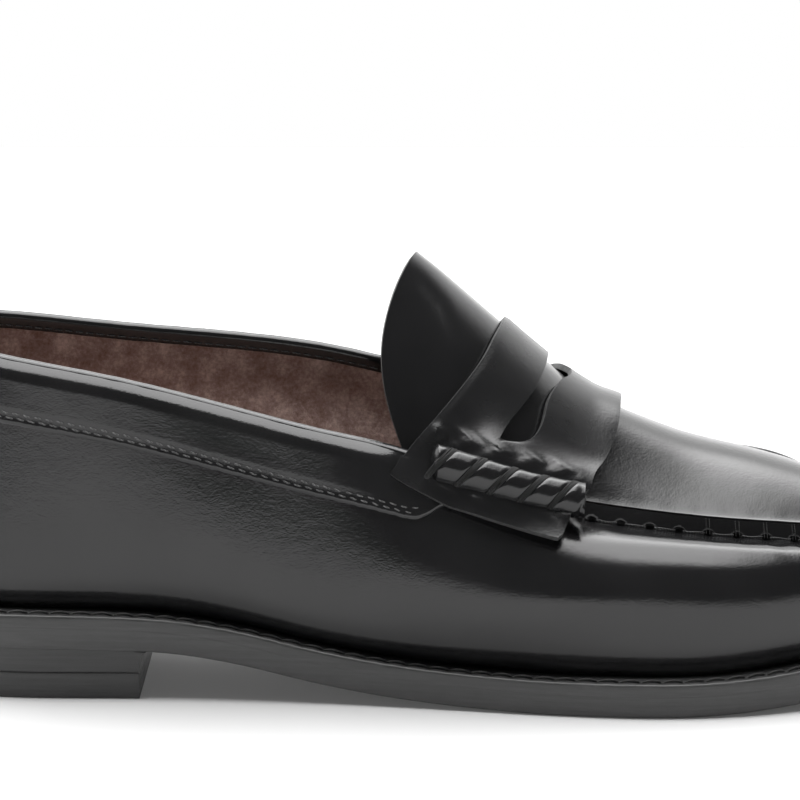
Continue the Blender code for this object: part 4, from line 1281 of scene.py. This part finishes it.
def plate_mesh(name, edge_profile, looks, x_to=None, count=300, floor=sole_bottom, square_behind=None):
    """A solid plate: edge_profile lists (inset, height) from its lower to its upper rim; flat between rims.

    It ends at x_to, where given. Behind square_behind the rim keeps a square edge, where it lies on the heel.
    """
    around = np.arange(1, count // 2) / count
    rims = [[outline(u, rim_inset(u, inset, square_behind)) for u in (around, 1 - around)]
            for inset, _ in edge_profile]
    keep = np.ones(len(around), bool)
    if x_to is not None:
        keep = np.all([np.maximum(left[:, 0], right[:, 0]) < x_to - 0.8 for left, right in rims], axis=0)
    layers = []
    for (inset, height), (left, right) in zip(edge_profile, rims):
        lines = across_plate(left[keep], right[keep])
        if x_to is not None:
            lines.append(end_line(inset, x_to))
        plan = np.stack(lines)
        layers.append(np.concatenate([plan, (floor(plan[..., 0]) + height)[..., None]], axis=-1))
    return close_plate(name, layers, looks)


def rim_inset(u, inset, square_behind):
    """The rim's inset at u: drawn out to the edge behind square_behind."""
    if square_behind is None:
        return inset
    open_edge = smooth(square_behind - 2, square_behind + 4, ROUND(u)[..., :1])
    return min(inset, 0.9) * (1 - open_edge) + inset * open_edge


def end_line(inset, x):
    """The line across a plate at x."""
    fine = outline(FINE, inset)
    ends = []
    for side in (FINE <= 0.5, FINE >= 0.5):
        order = np.argsort(fine[side, 0])
        ends.append(np.array([x, np.interp(x, fine[side, 0][order], fine[side, 1][order])]))
    return ends[0] * (1 - ACROSS) + ends[1] * ACROSS


def close_plate(name, layers, looks):
    """Joins the grids of a plate's lower face, rim steps and upper face into one closed mesh."""
    rows, columns = layers[0].shape[:2]
    size = rows * columns
    index = np.arange(size).reshape(rows, columns)
    loop = np.concatenate([index[:, 0], index[-1, 1:], index[::-1, -1][1:], index[0, ::-1][1:-1]])
    quads = np.stack([index[:-1, :-1], index[1:, :-1], index[1:, 1:], index[:-1, 1:]], -1).reshape(-1, 4)
    points = np.concatenate([layer.reshape(-1, 3) for layer in layers])
    top = (len(layers) - 1) * size
    faces = [quads[:, ::-1], quads + top]
    slots = [np.full(len(quads), len(looks) - 1), np.zeros(len(quads))]
    for level in range(len(layers) - 1):
        a, b = loop + level * size, np.roll(loop, -1) + level * size
        faces.append(np.stack([a, b, b + size, a + size], -1))
        slots.append(np.zeros(len(loop)))
    faces = np.concatenate(faces)
    used, where = np.unique(faces, return_inverse=True)
    return make_mesh(name, points[used], where.reshape(faces.shape), looks, np.concatenate(slots))


def soling(looks):
    welt_piece(looks)
    rim = [(2.2, 0.0), (1.3, 0.12), (0.75, 0.5), (0.5, 1.1), (0.25, 3.0), (0.05, OUTSOLE - 0.6),
           (0.05, OUTSOLE - 0.2), (0.07, OUTSOLE), (3.0, OUTSOLE)]
    made = plate_mesh("outsole_leather", rim, [looks["sole_edge"], looks["sole"]], square_behind=HEEL_FRONT)
    place(made, "sole_leather", "outsole")
    place(heel_block(looks["heel_edge"]), "sole_leather", "heel_base")
    lift = [(3.2, 0.0), (2.7, 0.25), (2.45, 0.8), (1.65, TOP_LIFT - 0.5), (1.68, TOP_LIFT - 0.15),
            (1.85, TOP_LIFT)]
    made = plate_mesh("top_lift_rubber", lift, [looks["heel_edge"], looks["lift"]], x_to=HEEL_FRONT - 0.4,
                      floor=np.zeros_like, count=400)
    place(soften(made, 0.5), "rubber", "top_lift")
    seat = OUTSOLE + WELT + 3 * GAP + WALL
    low = seat + INSOLE + SOCK_RISE
    sock = [(11.0, low), (10.9, low + 0.5), (11.0, low + 1.0), (11.4, low + 1.2)]
    made = plate_mesh("sock_leather", sock, [looks["sock"]])
    place(made, "sock_leather", "sock_liner")


def heel_block(look):
    """The heel's base: a flat foot, a seat that follows the outsole, a breast that flares at the top."""
    side, seat_inset, foot = 1.6, 0.9, TOP_LIFT + 1.0
    levels = [(1.85, TOP_LIFT + 0.06, 0.0), (1.65, TOP_LIFT + 0.25, 0.0), (side, foot, 0.0)]
    levels += [(side + (seat_inset - side) * rise, None, rise) for rise in np.linspace(0, 1, 9)]
    around = np.arange(1, 200) / 400
    layers = []
    for inset, height, rise in levels:
        left, right = outline(around, inset), outline(1 - around, inset)
        keep = np.maximum(left[:, 0], right[:, 0]) < HEEL_FRONT - 2
        breast = HEEL_FRONT - 0.3 + 1.8 * rise**4
        plan = np.stack(across_plate(left[keep], right[keep]) + [end_line(inset, breast)])
        if height is None:
            z = foot * (1 - rise) + (sole_bottom(plan[..., 0]) - 0.05) * rise
        else:
            z = np.full(plan.shape[:2], height)
        layers.append(np.concatenate([plan, z[..., None]], axis=-1))
    return close_plate("heel_stack", layers, [look])


# ---------------------------------------------------------------- pieces that keep their CAD shape

def finish_cad_nodes(looks):
    kept = {
        "vamp_lining": "canvas", "heel_counter": "board", "toe_puff": "board", "insole_board": "board",
        "cork_filler": "cork", "shank": "steel",
    }
    kept.update({f"heel_nail_{number}": "steel" for number in range(1, 6)})
    for node, look in kept.items():
        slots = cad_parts[node].data.materials
        slots.clear()
        slots.append(looks[look])


# ---------------------------------------------------------------- stage, light and camera

def stage():
    # The floor glows faintly (emission 0.07): painted light that lifts the shadows the shoe casts on it.
    look = Look("pale_floor", (0.6, 0.6, 0.6), 0.9, Specular_IOR_Level=0.1, Emission_Color=(1, 1, 1, 1),
                Emission_Strength=0.07)
    mesh = bpy.data.meshes.new("floor")
    size = 1.3
    low = -0.00005  # just under the soles, so that the two never share a plane
    corners = [(-size, -size, low), (size, -size, low), (size, size, low), (-size, size, low)]
    mesh.from_pydata(corners, [], [(0, 1, 2, 3)])
    mesh.materials.append(look.made)
    floor = bpy.data.objects.new("floor", mesh)
    bpy.context.scene.collection.objects.link(floor)


BOX_LIGHT = 6.0  # soft box overhead
BACKDROP_LIGHT = 1.7
ROOM_LIGHT = 0.11  # dark room on the near side
FLOOR_LIGHT = 1.15


def studio():
    """White behind and overhead, dark on the near side above the floor: what polished leather mirrors."""
    world = bpy.data.worlds.new("studio")
    bpy.context.scene.world = world
    world.use_nodes = True
    world.node_tree.nodes.clear()
    nodes = Nodes(world.node_tree)
    combine = nodes.maths

    def spread(value, low, high, out_low, out_high):
        return nodes.range(value, low, high, out_low, out_high, interpolation_type="SMOOTHSTEP")

    direction = nodes.node("ShaderNodeSeparateXYZ")
    nodes.link(nodes.node("ShaderNodeTexCoord").outputs["Generated"], direction.inputs[0])
    x, y, z = direction.outputs
    over = combine("DIVIDE", combine("ARCTAN2", z, combine("MULTIPLY", y, -1.0)), math.pi)
    near_edge, far_edge = spread(over, 0.385, 0.42, 0.0, BOX_LIGHT), spread(over, 0.70, 0.80, 1.0, 0.0)
    within = combine("MULTIPLY", spread(x, -0.82, -0.6, 0.0, 1.0), spread(x, 0.28, 0.55, 1.0, 0.0))
    soft_box = combine("MULTIPLY", combine("MULTIPLY", near_edge, far_edge), within)
    behind = spread(over, 0.55, 0.8, 0.0, BACKDROP_LIGHT)
    above = combine("ADD", combine("ADD", soft_box, behind), ROOM_LIGHT)
    below = spread(z, -0.02, 0.0, FLOOR_LIGHT, 0.0)
    over_horizon = spread(z, -0.01, 0.01, 0.0, 1.0)
    total = combine("ADD", combine("MULTIPLY", above, over_horizon), below)
    mirrored, seen = (nodes.node("ShaderNodeBackground") for _ in range(2))
    nodes.link(total, mirrored.inputs["Strength"])
    seen.inputs["Strength"].default_value = 1.0
    for background in (mirrored, seen):
        background.inputs["Color"].default_value = (1, 1, 1, 1)
    choose = nodes.node("ShaderNodeMixShader")
    nodes.link(nodes.node("ShaderNodeLightPath").outputs["Is Camera Ray"], choose.inputs["Fac"])
    nodes.link(mirrored.outputs[0], choose.inputs[1])
    nodes.link(seen.outputs[0], choose.inputs[2])
    nodes.link(choose.outputs[0], nodes.node("ShaderNodeOutputWorld").inputs["Surface"])


def camera():
    """Side view from 0.92 m, 10.5 degrees above the level, with a long lens."""
    target = Vector(to_row((142.5, 0.0, 74.4)))
    distance, rise = 0.92, math.radians(10.5)
    data = bpy.data.cameras.new("camera")
    data.sensor_width = 36.0
    data.lens = 153.3
    made = bpy.data.objects.new("camera", data)
    bpy.context.scene.collection.objects.link(made)
    made.location = target + distance * Vector((0, -math.cos(rise), math.sin(rise)))
    made.rotation_euler = (target - made.location).to_track_quat("-Z", "Y").to_euler()
    bpy.context.scene.camera = made
    bpy.context.scene.view_settings.view_transform = "Standard"


def build():
    looks = make_looks()
    upper_wall(looks)
    apron_leather(looks)
    penny_strap(looks)
    for medial in (False, True):
        beefroll(looks, medial)
    collar_band(looks)
    collar_threads(looks)
    topline_binding(looks)
    suede_lining(looks)
    backstay(looks)
    apron_seam_threads(looks)
    welt_threads(looks)
    soling(looks)
    finish_cad_nodes(looks)


camera()
build()
stage()
studio()
